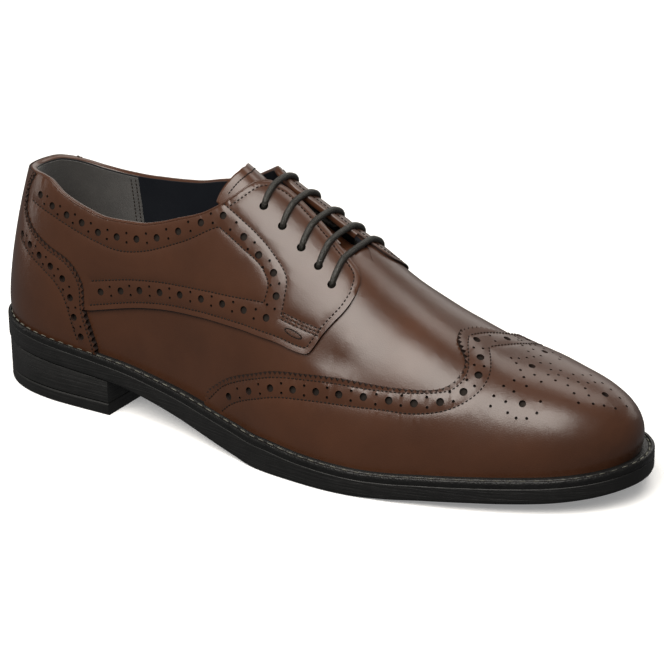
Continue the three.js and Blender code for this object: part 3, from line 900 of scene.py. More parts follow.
seat = ring_stack("heel_block_dressed", heel_rings(
    ((1.0, 5.75), (0.55, 6.1), (0.5, 7.0)), above_floor)
    + heel_rings(((0.5, -1.0), (0.8, -0.3)), at_underside), [rubber_heel])
top_piece = ring_stack("heel_top_piece_dressed", heel_rings(
    ((1.2, 0.0), (0.7, 0.3), (0.5, 1.0), (0.5, 4.9), (0.95, 5.4)), above_floor),
    [rubber_heel])
footbed = ring_stack("sock_dressed", stacked(
    ((7.6, -2.9), (7.6, 1.0), (8.0, 1.5), (9.0, 1.6)), at_welt), [sock])

for piece, node, slot in ((outsole, "outsole", "outsole_rubber"), (welt, "welt", "welt_rubber"),
                          (seat, "heel_block", "heel_rubber"),
                          (top_piece, "heel_top_piece", "heel_rubber"),
                          (footbed, "insole", "sock_lining")):
    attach(piece, "root")
    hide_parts(node)

# %% [markdown]
# ## Stitches
# A stitch shows as a short thread that dips into a hole at both ends. One small bead with few
# faces is made once and copied along every seam.

# %% Stitch helper


def bead_template():
    bm = bmesh.new()
    bmesh.ops.create_uvsphere(bm, u_segments=6, v_segments=4, radius=1)
    bm.verts.ensure_lookup_table()
    verts = np.array([v.co[:] for v in bm.verts])
    faces = [[v.index for v in f.verts] for f in bm.faces]
    bm.free()
    return verts[:, [2, 0, 1]], faces


bead_verts, bead_faces = bead_template()


def thread_run(rows, name, material, thick=0.31):
    """Stitches along seams; a row is (points, directions, normals, length of a stitch)."""
    verts, faces = [], []
    for points, along, normal, size in rows:
        along = unit(along)
        across = np.cross(normal, along)
        for p, a, b, n in zip(points, along, across, normal):
            start = len(verts) * len(bead_verts)
            verts.append(p + bead_verts[:, :1] * a * size / 2 + bead_verts[:, 1:2] * b * thick
                         + bead_verts[:, 2:] * n * thick)
            faces += [[start + i for i in f] for f in bead_faces]
    mesh = bpy.data.meshes.new(name)
    mesh.from_pydata(metres(np.vstack(verts)).tolist(), [], faces)
    mesh.polygons.foreach_set("use_smooth", [True] * len(mesh.polygons))
    piece = finished(name, mesh, [material])
    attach(piece, "root")
    return piece


def seam_stitches(chart, line, lift, pitch=1.8, fill=0.72):
    at = spaced(chart, line, pitch)
    ends = place(chart, at, lift)
    points = (ends[:-1] + ends[1:]) / 2
    middle = (at[:-1] + at[1:]) / 2
    return points, ends[1:] - ends[:-1], skin_normal(*chart.uv(middle)), pitch * fill


def welt_stitches():
    ring = outline_ring(2.02, at_welt(-0.62), 900)
    run = np.concatenate([[0], np.cumsum(np.linalg.norm(np.diff(ring, axis=0), axis=-1))])
    count = int(run[-1] / 5.2)
    spots = np.linspace(0, run[-1], count, endpoint=False)
    points = np.stack([np.interp(spots, run, ring[:, k]) for k in range(3)], -1)
    ahead = np.stack([np.interp((spots + 1) % run[-1], run, ring[:, k]) for k in range(3)], -1)
    normal = np.tile([0.0, 0.0, 1.0], (count, 1))
    return points, ahead - points, normal, 3.5


thread_run([welt_stitches()], "welt_stitching", welt_thread, 0.42)

# %% [markdown]
# ## Edges of the patterns
# The lines below are read from the same tables as the CAD model: the top line of the collar and
# facings, the wing, the quarter's edges and the heel counter.

# %% Pattern edges
wing_height = 1.55
quarter_height = 1.30
counter_height = 2.00
thread_sink = 0.17
top_rows = [
    (0.000, 0.568, 0.568), (0.014, 0.571, 0.568), (0.050, 0.574, 0.553), (0.078, 0.574, 0.535),
    (0.108, 0.567, 0.516), (0.147, 0.530, 0.502), (0.189, 0.502, 0.497), (0.224, 0.488, 0.500),
    (0.278, 0.497, 0.515), (0.313, 0.520, 0.538), (0.348, 0.563, 0.572), (0.381, 0.618, 0.622),
    (0.411, 0.698, 0.700), (0.433, 0.795, 0.795), (0.447, 0.885, 0.885), (0.461, 0.945, 0.930),
    (0.486, 0.984, 0.958), (0.523, 0.965, 0.940), (0.558, 0.932, 0.930), (0.575, 0.922, 0.926),
    (0.589, 0.940, 0.940), (0.610, 1.000, 1.000), (1.000, 1.000, 1.000)]
wing_rows = [
    (0.395, -0.040), (0.400, 0.000), (0.406, 0.070), (0.421, 0.121), (0.442, 0.176),
    (0.477, 0.241), (0.514, 0.302), (0.576, 0.377), (0.640, 0.448), (0.710, 0.513),
    (0.754, 0.578), (0.773, 0.658), (0.779, 0.745)]
peak_rows = [
    (0.744, 1.000), (0.752, 0.925), (0.761, 0.885), (0.770, 0.850), (0.777, 0.800),
    (0.779, 0.745)]
low_rows = [
    (0.030, 0.170), (0.196, 0.196), (0.219, 0.211), (0.284, 0.256), (0.354, 0.297),
    (0.421, 0.342), (0.517, 0.411), (0.570, 0.442), (0.589, 0.548), (0.601, 0.623),
    (0.607, 0.663), (0.613, 0.726), (0.615, 0.775)]
high_rows = [
    (0.030, 0.680), (0.380, 0.720), (0.420, 0.980), (0.550, 0.990), (0.566, 0.921),
    (0.589, 0.899), (0.606, 0.876), (0.613, 0.836), (0.615, 0.785)]
counter_rows = [
    (0.210, -0.040), (0.210, 0.030), (0.201, 0.126), (0.192, 0.201), (0.191, 0.266),
    (0.179, 0.317), (0.158, 0.352), (0.124, 0.377), (0.082, 0.422), (0.061, 0.467),
    (0.058, 0.518), (0.074, 0.568), (0.090, 0.660)]
eyelet_rows = [
    (0.467, 0.809, 0.830), (0.498, 0.794, 0.820), (0.530, 0.774, 0.800), (0.558, 0.759, 0.785),
    (0.582, 0.734, 0.765)]
top_of = {-1: monotone(top_rows, 1), 1: monotone(top_rows, 2)}
wing_of = monotone(wing_rows, 1)
peak_of = monotone(peak_rows, 1)
low_of = monotone(low_rows, 1)
high_of = monotone(high_rows, 1)
counter_of = monotone(counter_rows, 0, along=1)


def quarter_top(side):
    """Top edge of a quarter: its own front, or the collar where that is lower."""
    line = top_of[side]
    return lambda at: np.minimum(line(at), high_of(at))


def chart_line(chart, at, rise, side):
    return chart.flat(angle(at), side * (1 - np.asarray(rise)))


def toothed(chart, line, pitch=2.0, depth=1.0):
    """A pinked edge: every second point is pulled in to the left of the line."""
    line = spaced(chart, line, pitch / 2)
    inwards = beside(chart, line, depth)
    teeth = line.copy()
    teeth[1::2] = inwards[1::2]
    return teeth


def shadow_ribbon(name, chart, line, lift):
    """A dark strip below a pinked edge: painted shadow that shows between the teeth."""
    line = spaced(chart, line, 1.5)
    near, far = beside(chart, line, 0.12), beside(chart, line, 1.5)
    rows = np.stack([place(chart, near, lift), place(chart, far, lift)], 1)
    verts = metres(rows.reshape(-1, 3)).tolist()
    faces = [(2 * i, 2 * i + 2, 2 * i + 3, 2 * i + 1) for i in range(len(line) - 1)]
    mesh = bpy.data.meshes.new(name)
    mesh.from_pydata(verts, [], faces)
    ribbon = finished(name, mesh, [edge_dye_and_shade])
    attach(ribbon, "root")


def eyelet_holes(chart, side, radius=1.8):
    centres = [chart_line(chart, row[0], row[1 if side < 0 else 2], side)
               for row in eyelet_rows]
    return [(ring, None) for ring in ringed(chart, centres, radius, 16)]


print("edges ready")

# %% [markdown]
# ## Upper
# The vamp and its lining are one closed shell 1.6 millimetres thick. It is open where the foot
# goes in and where it is laced. The outside is calf and the inside is smooth dark lining. The
# walls of the lacing's opening are calf on the near side only.

# %% Upper shell
feather = np.linspace(0, np.pi, 300)
feather_line = np.vstack([plan.flat(feather, np.full(300, -1.02))[:-1],
                          plan.flat(feather[::-1], np.full(300, 1.02))[:-1]])
open_at = share(np.linspace(0, angle(0.610), 260))
opening = np.vstack([chart_line(plan, open_at, top_of[-1](open_at), -1)[:-1],
                     chart_line(plan, open_at[::-1], top_of[1](open_at[::-1]), 1)[:-1]])
upper = cut_pattern(
    "upper_dressed", plan, spaced(plan, feather_line, 3.0, True), top=0.0, low=-1.6,
    holes=[(spaced(plan, opening, 1.5, True), None)] + eyelet_holes(plan, -1)
    + eyelet_holes(plan, 1),
    gap=3.0, closed_back=True, materials=[calf, lining_smooth], wall_material=1)
for polygon in upper.data.polygons:
    spot = polygon.center
    throat = spot.x > 0.012 and spot.z > 0.066 and spot.y < -0.006
    if polygon.material_index == 1 and throat:
        polygon.material_index = 0
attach(upper, "root")
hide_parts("upper")

# %% [markdown]
# ## Holes along a band
# A brogue band repeats one large hole and a pair of small ones. The large holes are given one
# by one along a line; the small pairs sit half way between them, either side of that line.

# %% Band helper
big_hole, small_hole, pit_floor = 1.6, 0.62, 0.3
# Hole floors take the painted shade material.
punched_leather = {"materials": [calf, edge_dye_and_shade, painted_hole_shade], "wall_material": 1,
                   "floor_material": 2}


def punched_band(chart, centres, spread=1.95):
    holes = [(ring, pit_floor) for ring in ringed(chart, centres, big_hole, 16)]
    middles = (centres[:-1] + centres[1:]) / 2
    across = place(chart, centres)
    along = across[1:] - across[:-1]
    u, v = chart.uv(middles)
    normal = skin_normal(u, v)
    left = np.cross(normal, along)
    left = unit(left)
    for way in (spread, -spread):
        spots = find(chart, place(chart, middles) + left * way, middles, 3)
        holes += [(ring, pit_floor) for ring in ringed(chart, spots, small_hole, 8)]
    return holes


# %% [markdown]
# ## Wing cap
# The wing cap runs from the waist round the toe, with a peak in the middle. Its edge is pinked,
# a band of holes follows it, and the toe carries the usual medallion.

# %% Toe axis


peak_hole = np.array([234.8, -8.7])
toe_way = np.array([0.975, 0.222])
toe_across = np.array([-0.222, 0.975])


def on_toe(spots):
    """Flat places on the toe: forwards from the peak's hole and sideways, in millimetres."""
    spots = np.array(spots, float)
    wanted = peak_hole + spots[:, :1] * toe_way + spots[:, 1:] * toe_across
    p = wanted * [1, 0.6]
    for _ in range(30):
        a, b = slopes(plan, p)
        miss = wanted - place(plan, p)[:, :2]
        jacobian = np.stack([a[:, :2], b[:, :2]], -1)
        move = np.linalg.solve(jacobian, miss[..., None])[..., 0]
        p = p + 0.7 * move
    return p


def inner_side(line):
    """An outer line for the inner side, at the same heights on the last."""
    u, v = plan.uv(line)
    return plan.flat(u, -v)


# %% Wing cap
flank_at = share(np.linspace(angle(0.400), angle(0.779), 200))
crown_at = share(np.linspace(angle(0.779), angle(0.744), 60))
wing_edge_out = np.vstack([
    chart_line(plan, flank_at, wing_of(flank_at), -1)[:-1],
    chart_line(plan, crown_at, peak_of(crown_at), -1)])
wing_edge_in = inner_side(wing_edge_out[:-1])[::-1]
# the upper edge is drawn from the inner waist over the peak to the outer waist
wing_top = np.vstack([wing_edge_out, wing_edge_in])[::-1]
# painted shadow strip under the wing cap's teeth
shadow_ribbon("wing_edge_shadow", plan, wing_top, 0.2)
wing_top = toothed(plan, wing_top, 2.4, 1.4)
foot_at = share(np.linspace(angle(0.400), np.pi, 160))
wing_foot = np.vstack([
    chart_line(plan, foot_at, np.full(160, -0.01), -1)[:-1],
    chart_line(plan, foot_at[::-1], np.full(160, -0.01), 1)])
wing_loop = np.vstack([spaced(plan, wing_foot, 2.4)[1:-1], wing_top])

big_rows = [
    (0.449, 0.114), (0.485, 0.191), (0.522, 0.251), (0.558, 0.294), (0.594, 0.334),
    (0.629, 0.371), (0.664, 0.408), (0.700, 0.438), (0.734, 0.468), (0.766, 0.522),
    (0.791, 0.622), (0.800, 0.759), (0.789, 0.886)]
wing_band = []
for side in (-1, 1):
    rows = big_rows + [(0.768, 1.0)]
    centres = drawn(plan, rows, -1, smooth=False)
    if side > 0:
        centres = inner_side(centres)
    band_holes = punched_band(plan, centres)
    if side > 0:
        del band_holes[len(rows) - 1]
    wing_band += band_holes

medallion_big = ((22.8, 0), (52.2, 0), (23.7, 17.8), (23.7, -17.8))
medallion_small = (
    (14.2, 0), (33.6, 0), (37.4, 0), (41.5, 0), (16.9, 2.0), (19.4, 5.0), (21.6, 8.0),
    (25.1, 4.9), (28.5, 7.4), (30.0, 2.2), (33.4, 4.2), (38.4, 4.6), (41.6, 7.4),
    (44.1, 10.6), (44.8, 2.3), (46.9, 5.3), (49.3, 8.0), (53.1, 6.1), (57.1, 3.9),
    (60.2, 1.9), (18.5, 11.0), (23.6, 11.5), (15.2, 14.5), (19.5, 15.1), (17.3, 18.9),
    (30.3, 15.3), (29.8, 18.8), (26.3, 20.9), (22.3, 21.7), (18.8, 21.3), (12.4, 18.5),
    (11.9, 21.2))

mirrored = [(s, way * t) for s, t in medallion_small for way in ((1, -1) if t else (1,))]
medallion = [(ring, pit_floor) for ring in ringed(plan, on_toe(medallion_big), 1.45, 14)]
medallion += [(ring, pit_floor) for ring in ringed(plan, on_toe(mirrored), small_hole, 8)]
print("medallion", len(medallion), "holes")

outer_seam_rows = [(0.685, 0.465), (0.734, 0.522), (0.777, 0.619), (0.786, 0.739),
                   (0.777, 0.846), (0.763, 0.950), (0.757, 1.0)]
inner_seam_rows = [(0.690, 0.381), (0.740, 0.418), (0.784, 0.508), (0.809, 0.645),
                   (0.812, 0.796), (0.800, 0.916), (0.786, 1.0)]
wing_seams = []
flank = chart_line(plan, flank_at, wing_of(flank_at), -1)
flank = spaced(plan, flank[flank_at < 0.665], 4.0)
for rows, distance in ((outer_seam_rows, 2.3), (inner_seam_rows, 10.4)):
    u, v = plan.uv(beside(plan, flank, -distance))
    early = np.stack([share(u), 1 - np.abs(v)], -1)[1::3]
    early = early[early[:, 0] < rows[0][0] - 0.035]
    outer_seam = drawn(plan, np.vstack([early, rows]), -1)
    wing_seams += [outer_seam, inner_side(outer_seam[:-1])]
wing_cap = cut_pattern(
    "wing_cap_dressed", plan, wing_loop, top=wing_height, low=0.0,
    holes=wing_band + medallion, seams=wing_seams, **punched_leather)
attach(wing_cap, "root")
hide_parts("wing_cap")
thread_run([seam_stitches(plan, s, wing_height - thread_sink) for s in wing_seams],
           "wing_stitching", thread)

# %% [markdown]
# ## Quarters
# A quarter is the side panel with the lace holes. Its collar band and lower band are punched,
# a closed seam runs inside the bands, and the facing is stitched on in front.

# %% Quarters
collar_holes = [
    (0.096, 0.515), (0.126, 0.492), (0.156, 0.475), (0.184, 0.462), (0.213, 0.445),
    (0.245, 0.445), (0.278, 0.455), (0.312, 0.478), (0.347, 0.525), (0.382, 0.592),
    (0.415, 0.662), (0.451, 0.652), (0.477, 0.635), (0.503, 0.619), (0.513, 0.555),
    (0.503, 0.468), (0.466, 0.438), (0.430, 0.408), (0.393, 0.378), (0.356, 0.351),
    (0.321, 0.328), (0.286, 0.311), (0.254, 0.291), (0.220, 0.271)]
panel_seam = [
    (0.074, 0.492), (0.129, 0.465), (0.172, 0.438), (0.210, 0.418), (0.245, 0.408),
    (0.299, 0.435), (0.351, 0.498), (0.411, 0.619)]
panel_front = [(0.411, 0.619), (0.452, 0.615), (0.489, 0.599), (0.497, 0.579), (0.496, 0.508)]
panel_low = [
    (0.496, 0.508), (0.446, 0.452), (0.356, 0.378), (0.264, 0.331), (0.203, 0.298)]
facing_seam = [
    (0.411, 0.699), (0.437, 0.699), (0.463, 0.696), (0.497, 0.676), (0.522, 0.635),
    (0.525, 0.565), (0.525, 0.508)]
facing_foot = [(0.525, 0.508), (0.554, 0.522), (0.584, 0.542)]


def quarter(side):
    name = "quarter_lateral" if side < 0 else "quarter_medial"
    high = quarter_top(side)
    back_rise = np.linspace(0.18, 0.575 if side < 0 else 0.555, 24)
    back_edge = chart_line(plain, counter_of(back_rise) - 0.012, back_rise, side)
    start_low = float(counter_of(0.18)) - 0.012
    start_high = float(counter_of(0.575)) - 0.012
    low_at = share(np.linspace(angle(start_low), angle(0.615), 200))
    high_at = share(np.linspace(angle(start_high), angle(0.615), 300))
    lower = chart_line(plain, low_at, low_of(low_at), side)
    upper_line = chart_line(plain, high_at, high(high_at), side)
    loop = np.vstack([spaced(plain, lower, 1.5)[:-1], spaced(plain, upper_line[::-1], 1.2)[:-1],
                      spaced(plain, back_edge[::-1], 2.0)[:-1]])
    if side > 0:
        loop = loop[::-1]
    centres = drawn(plain, collar_holes, side, smooth=False)
    holes = punched_band(plain, centres) + eyelet_holes(plain, side)
    lower_visible = lower[low_at > 0.20]
    free = spaced(plain, upper_line[high_at > 0.415], 2.5)
    seams = [drawn(plain, rows, side) for rows in (panel_seam, panel_front, panel_low)]
    seams.append(drawn(plain, facing_seam, side))
    facing = drawn(plain, facing_foot, side, count=30)
    seams += [facing, beside(plain, facing, 1.4), beside(plain, facing, -1.4)]
    seams.append(beside(plain, free, 2.6 * side))
    seams.append(beside(plain, spaced(plain, lower_visible, 2.5), -2.4 * side))
    piece = cut_pattern(
        name + "_dressed", plain, loop, top=quarter_height, low=0.0, holes=holes, seams=seams,
        folded=[upper_line[::side]], **punched_leather)
    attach(piece, "root")
    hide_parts(name)
    loop_at = np.linspace(0, 2 * np.pi, 40)
    tack = plain.flat(angle(0.547 + 0.0135 * np.cos(loop_at)),
                      side * (1 - (0.480 + 0.005 * np.cos(loop_at)
                                   + 0.010 * np.sin(loop_at))))
    tack_row = seam_stitches(plain, tack, 1.35, 1.1, 1.05)
    seam_rows = [seam_stitches(plain, s, quarter_height - thread_sink) for s in seams]
    thread_run(seam_rows + [tack_row], name + "_stitching", thread)


for side in (-1, 1):
    quarter(side)

# %% [markdown]
# ## Heel counter
# The counter wraps the heel in one piece, over the quarters. The chart goes on past the heel,
# so its outer and inner halves are one flat pattern.

# %% Heel counter
counter_holes = [
    (0.059, 0.381), (0.084, 0.361), (0.107, 0.338), (0.131, 0.314), (0.154, 0.284),
    (0.168, 0.227), (0.174, 0.157), (0.185, 0.077)]
counter_seam_rows = [
    (0.053, 0.368), (0.085, 0.330), (0.117, 0.297), (0.142, 0.262), (0.155, 0.225),
    (0.163, 0.180), (0.170, 0.120), (0.178, 0.050)]


def round_heel(at, rise, way):
    """Flat places near the heel; way -1 is the outer side, 1 the inner, drawn as one sheet."""
    at, rise = np.asarray(at, float), np.asarray(rise, float)
    return plain.flat(-way * angle(at), -(1 - rise))


rise_up = np.linspace(-0.01, 0.568, 160)
outer_edge = round_heel(counter_of(rise_up), rise_up, -1)
inner_up = np.linspace(-0.01, 0.545, 160)
inner_edge = round_heel(counter_of(inner_up), inner_up, 1)
outer_teeth = toothed(plain, outer_edge, 2.7, 1.5)
inner_teeth = toothed(plain, inner_edge[::-1], 2.7, 1.5)
top_at = np.linspace(0, 1, 24)
top_end_out = float(counter_of(0.568))
top_end_in = float(counter_of(0.545))
collar_out = top_end_out * (1 - top_at) ** 2
collar_in = top_end_in * top_at**2
collar_back = np.vstack([
    round_heel(collar_out, top_of[-1](collar_out), -1)[1:],
    round_heel(collar_in, top_of[1](collar_in), 1)[1:-1]])
low_way = np.linspace(-1, 1, 60)
low_at = float(counter_of(-0.01)) * low_way**2
low_line = plain.flat(np.sign(low_way) * angle(low_at), np.full(60, -1.01))
counter_loop = np.vstack([outer_teeth, collar_back, inner_teeth,
                          spaced(plain, low_line[1:-1], 2.4)])
counter_band = []
counter_seams = []
for way in (-1, 1):
    rows = np.array(counter_holes)
    centres = round_heel(rows[:, 0], rows[:, 1], way)
    counter_band += punched_band(plain, centres)
    rows = smoothed(counter_seam_rows)
    counter_seams.append(round_heel(rows[:, 0], rows[:, 1], way))
counter_seams.append(beside(plain, spaced(plain, outer_edge, 2.5), 2.1))
counter_seams.append(beside(plain, spaced(plain, inner_edge, 2.5), -2.1))
heel_counter = cut_pattern(
    "heel_counter_dressed", plain, counter_loop, top=counter_height, low=0.0,
    holes=counter_band, seams=counter_seams, **punched_leather)
# painted shadow strips under the counter's teeth
for title, edge in (("outer", outer_edge), ("inner", inner_edge[::-1])):
    line = spaced(plain, edge, 1.5)
    over = np.where(1 - np.abs(line[:, 1]) / 75 > 0.20, 1.42, 0.15)
    shadow_ribbon("counter_shadow_" + title, plain, edge, over)
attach(heel_counter, "root")
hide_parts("heel_counter")
thread_run([seam_stitches(plain, s, counter_height - thread_sink) for s in counter_seams],
           "counter_stitching", thread)

# %% [markdown]
# ## Collar edge
# The leather is folded over the top line and meets the lining inside. A half round strip closes
# the gap between outside and lining all the way round.

# %% Collar edge


def edge_strip(name, chart, line, outer, inner, reach, materials, way=1.0):
    """A rounded strip over a raw edge, from the outer to the inner face of the leather."""
    at = spaced(chart, line, 1.2)
    points = place(chart, at)
    normal = skin_normal(*chart.uv(at))
    along = np.gradient(points, axis=0)
    side = np.cross(normal, along) * way
    side = unit(side)
    turn = np.radians(np.linspace(-28, 208, 15))
    middle, half = (outer + inner) / 2, (outer - inner) / 2
    rows = [points + side * (reach * np.sin(t)) + normal * (middle + half * np.cos(t))
            for t in turn]
    count = len(at)
    verts = metres(np.vstack(rows))
    faces = []
    for j in range(len(rows) - 1):
        for i in range(count - 1):
            a = j * count + i
            faces.append((a, a + 1, a + 1 + count, a + count))
    mesh = bpy.data.meshes.new(name)
    mesh.from_pydata(verts.tolist(), [], faces)
    bm = bmesh.new()
    bm.from_mesh(mesh)
    bmesh.ops.recalc_face_normals(bm, faces=bm.faces[:])
    bm.to_mesh(mesh)
    bm.free()
    mesh.polygons.foreach_set("use_smooth", [True] * len(mesh.polygons))
    piece = finished(name, mesh, materials)
    for polygon in mesh.polygons:
        polygon.material_index = 0 if polygon.index // (count - 1) < 11 else 1
    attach(piece, "root")
    return piece


collar_line = np.vstack([
    plain.flat(angle(open_at[::-1]), -(1 - top_of[-1](open_at[::-1])))[:-1],
    plain.flat(-angle(open_at), -(1 - top_of[1](open_at)))])
front = angle(0.572)
collar_u = collar_line[:, 0] / 100
collar_line = collar_line[np.abs(collar_u) < front]
collar_edge = edge_strip("collar_edge", plain, collar_line, 1.25, -1.6, 0.7,
                         [calf, lining_smooth, suede], way=-1.0)
for polygon in collar_edge.data.polygons:
    if polygon.material_index == 1 and polygon.center.x < -0.1:
        polygon.material_index = 2

# %% [markdown]
# ## Heel grip
# A piece of suede lines the inside of the heel, so that the foot doesn't slip. Two rows of
# stitches hold its front edge on either side.

# %% Heel grip
grip_u = np.linspace(-0.85, 0.85, 80)
grip_top = np.where(grip_u > 0, top_of[-1](share(grip_u)), top_of[1](share(grip_u))) - 0.004
grip_loop = np.vstack([plain.flat(grip_u, -(1 - grip_top)),
                       plain.flat(grip_u[::-1], np.full(80, -0.94))])
grip = cut_pattern("heel_grip", plain, spaced(plain, grip_loop, 2.4, True), top=-1.5, low=-2.0,
                   gap=3.2, materials=[suede], closed_back=True)
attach(grip, "root")
grip_rise = np.linspace(0.10, 0.49, 40)
grip_rows = [plain.flat(np.full(40, way * at), -(1 - grip_rise))
             for way in (-1, 1) for at in (0.838, 0.815)]
thread_run([seam_stitches(plain, s, -2.02) for s in grip_rows], "heel_grip_stitching",
           thread)

# %% [markdown]
# ## Tongue
# The tongue lies under the facings, low enough to leave room for the lace. Its top edge stands
# free above them.

# %% Tongue
tongue_top_rows = [(0.385, 0.640), (0.387, 0.673), (0.405, 0.814), (0.415, 0.900),
                   (0.421, 1.000)]
tongue_low_rows = [(0.385, 0.670), (0.410, 0.660), (0.450, 0.670), (0.550, 0.650),
                   (0.630, 0.690)]
tongue_end = monotone(tongue_top_rows, 0, along=1)
tongue_side = monotone(tongue_low_rows, 1)


def tongue_drop(at):
    t = np.clip((at - 0.560) / 0.034, 0, 1)
    return -(0.12 + 5.98 * (1 - t * t * (3 - 2 * t)))


station = np.linspace(0.385, 0.630, 90)
rows = []
for side in (-1, 1):
    rise = np.linspace(0, 1, 40)
    grid_at, grid_rise = np.meshgrid(station, rise, indexing="ij")
    low_edge = tongue_side(grid_at)
    real_rise = low_edge + (1 - low_edge) * grid_rise
    first = tongue_end(real_rise)
    real_at = first + (0.630 - first) * (grid_at - 0.385) / 0.245
    rows.append((real_at, real_rise, side))
bm = bmesh.new()
for real_at, real_rise, side in rows:
    lift = tongue_drop(real_at)
    points = metres(skin(angle(real_at), side * (1 - real_rise), lift))
    lengths, widths = points.shape[:2]
    verts = [[bm.verts.new(points[i, j]) for j in range(widths)] for i in range(lengths)]
    for i in range(lengths - 1):
        for j in range(widths - 1):
            corners = [verts[i][j], verts[i + 1][j], verts[i + 1][j + 1], verts[i][j + 1]]
            bm.faces.new(corners if side < 0 else corners[::-1])
bmesh.ops.remove_doubles(bm, verts=bm.verts[:], dist=1e-5)
for face in bm.faces:
    face.smooth = True
bmesh.ops.solidify(bm, geom=bm.faces[:], thickness=0.002)
mesh = bpy.data.meshes.new("tongue_dressed")
bm.to_mesh(mesh)
bm.free()
tongue = finished("tongue_dressed", mesh, [calf])
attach(tongue, "root")
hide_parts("tongue")
hem_v = np.linspace(-0.27, 0.27, 60)
hem = plain.flat(angle(tongue_end(1 - np.abs(hem_v)) + 0.011), hem_v)
thread_run([seam_stitches(plain, hem, -6.02)], "tongue_stitching", thread)

# %% [markdown]
# ## Lace
# A round waxed cotton lace runs straight over the opening in five bars and crosses unseen below
# the facings. It is a tube along one smooth path.

# %% Lace


def smooth_path(points, gap=0.6):
    """A centripetal curve through the points, sampled evenly."""
    points = np.array(points, float)
    ends = np.vstack([2 * points[0] - points[1], points, 2 * points[-1] - points[-2]])
    out = []
    for i in range(len(points) - 1):
        p0, p1, p2, p3 = ends[i:i + 4]
        t1 = np.linalg.norm(p1 - p0) ** 0.5
        t2 = t1 + np.linalg.norm(p2 - p1) ** 0.5
        t3 = t2 + np.linalg.norm(p3 - p2) ** 0.5
        t = np.linspace(t1, t2, max(3, int(np.linalg.norm(p2 - p1) / gap)))[:-1, None]
        a1 = (t1 - t) / t1 * p0 + t / t1 * p1
        a2 = (t2 - t) / (t2 - t1) * p1 + (t - t1) / (t2 - t1) * p2
        a3 = (t3 - t) / (t3 - t2) * p2 + (t - t2) / (t3 - t2) * p3
        b1 = (t2 - t) / t2 * a1 + t / t2 * a2
        b2 = (t3 - t) / (t3 - t1) * a2 + (t - t1) / (t3 - t1) * a3
        out.append((t2 - t) / (t2 - t1) * b1 + (t - t1) / (t2 - t1) * b2)
    return np.vstack(out + [points[-1:]])


def tube(name, path, radius, sides, material):
    """A round tube along a path, with u round it and v along it in millimetres."""
    along = np.gradient(path, axis=0)
    along = unit(along)
    side = np.cross(along[0], [0.3, 0.2, 1.0])
    frames = []
    for direction in along:
        side = side - direction * side.dot(direction)
        side = side / np.linalg.norm(side)
        frames.append((side, np.cross(direction, side)))
    turn = np.arange(sides + 1) * 2 * np.pi / sides
    verts, uvs = [], []
    run = np.concatenate([[0], np.cumsum(np.linalg.norm(np.diff(path, axis=0), axis=-1))])
    for p, (a, b), far in zip(path, frames, run):
        verts.append(p + radius * (np.cos(turn[:-1, None]) * a + np.sin(turn[:-1, None]) * b))
    faces, corners = [], []
    for j in range(len(path) - 1):
        for i in range(sides):
            n = (i + 1) % sides
            faces.append((j * sides + i, j * sides + n, (j + 1) * sides + n,
                          (j + 1) * sides + i))
            corners += [(i / sides, run[j]), ((i + 1) / sides, run[j]),
                        ((i + 1) / sides, run[j + 1]), (i / sides, run[j + 1])]
    last_row = (len(path) - 1) * sides
    faces += [tuple(range(sides))[::-1], tuple(last_row + i for i in range(sides))]
    corners += [(0, 0)] * (2 * sides)
    mesh = bpy.data.meshes.new(name)
    mesh.from_pydata(metres(np.vstack(verts)).tolist(), [], faces)
    layer = mesh.uv_layers.new(name="lace_map")
    layer.data.foreach_set("uv", np.array(corners).ravel())
    mesh.polygons.foreach_set("use_smooth", [True] * (len(faces) - 2) + [False] * 2)
    return finished(name, mesh, [material])


def lace_points():
    points = []
    under = -3.8
    for i, row in enumerate(eyelet_rows[::-1]):
        ends = {}
        for side, column in ((-1, 1), (1, 2)):
            ends[side] = [
                skin(angle(row[0]), side * (1 - row[column] - step), height)
                for step, height in ((0, under), (-0.002, -1.2), (0.012, 0.9), (0.04, 1.9),
                                     (0.08, 2.1), (0.125, 1.9))]
        first, second = ((-1, 1) if i % 2 == 0 else (1, -1))
        points += ends[first] + ends[second][::-1]
    return points


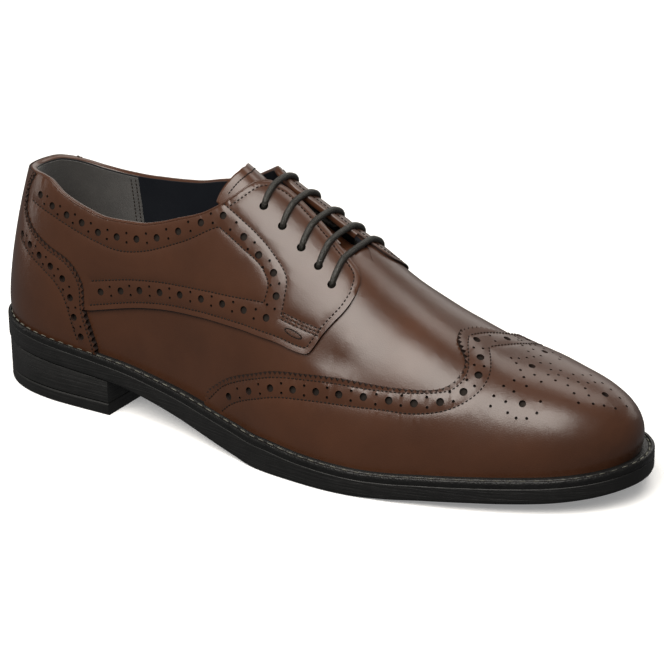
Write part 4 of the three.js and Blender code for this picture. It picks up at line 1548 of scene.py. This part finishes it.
lace_path = smooth_path(lace_points())
lace = tube("lace_dressed", lace_path, 1.35, 14, cotton)
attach(lace, "root")
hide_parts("lace")
lace_length = np.linalg.norm(np.diff(lace_path, axis=0), axis=-1).sum()
print("lace", round(lace_length), "mm")

# %% [markdown]
# ## Floor and light
# A plain white floor and large soft lamps. The largest stands in front and above, and gives the
# vamp, the facing and the toe their long pale reflections. A weaker one and a pale backdrop
# behind draw the far outline.

# %% Stage
bm = bmesh.new()
bmesh.ops.create_grid(bm, x_segments=1, y_segments=1, size=6)
mesh = bpy.data.meshes.new("floor")
bm.to_mesh(mesh)
bm.free()
floor = bpy.data.objects.new("floor", mesh)
bpy.context.scene.collection.objects.link(floor)
white = bpy.data.materials.new("floor_white")
white.use_nodes = True
paint = white.node_tree.nodes["Principled BSDF"]
paint.inputs["Base Color"].default_value = (0.9, 0.9, 0.9, 1)
paint.inputs["Roughness"].default_value = 0.9
paint.inputs["Emission Color"].default_value = (1, 1, 1, 1)
paint.inputs["Emission Strength"].default_value = 0.25
mesh.materials.append(white)
floor.visible_glossy = False
floor.visible_diffuse = False

world = bpy.data.worlds.new("studio")
world.use_nodes = True
world.node_tree.nodes["Background"].inputs["Color"].default_value = (1, 1, 1, 1)
world.node_tree.nodes["Background"].inputs["Strength"].default_value = 0.14
bpy.context.scene.world = world
bpy.context.scene.view_settings.view_transform = "Standard"


def lamp(name, place_at, aim, size, power):
    light = bpy.data.lights.new(name, "AREA")
    light.shape = "RECTANGLE"
    light.size, light.size_y = size
    light.energy = power
    light.color = (1.0, 0.96, 0.90)
    holder = bpy.data.objects.new(name, light)
    bpy.context.scene.collection.objects.link(holder)
    holder.location = place_at
    holder.rotation_euler = (Vector(aim) - Vector(place_at)).to_track_quat("-Z", "Y").to_euler()
    return holder


lamp("softbox_front", (0.10, -0.80, 1.05), (0, 0, 0.05), (1.4, 0.95), 32)
lamp("softbox_back", (0.05, 0.75, 1.10), (0, 0, 0.05), (1.0, 0.6), 5)
lamp("backdrop", (-0.2, 1.5, 0.42), (0, 0, 0.05), (2.2, 0.5), 4)
lamp("softbox_left", (-1.3, -0.3, 0.30), (-0.1, 0, 0.05), (0.3, 0.8), 1.5)
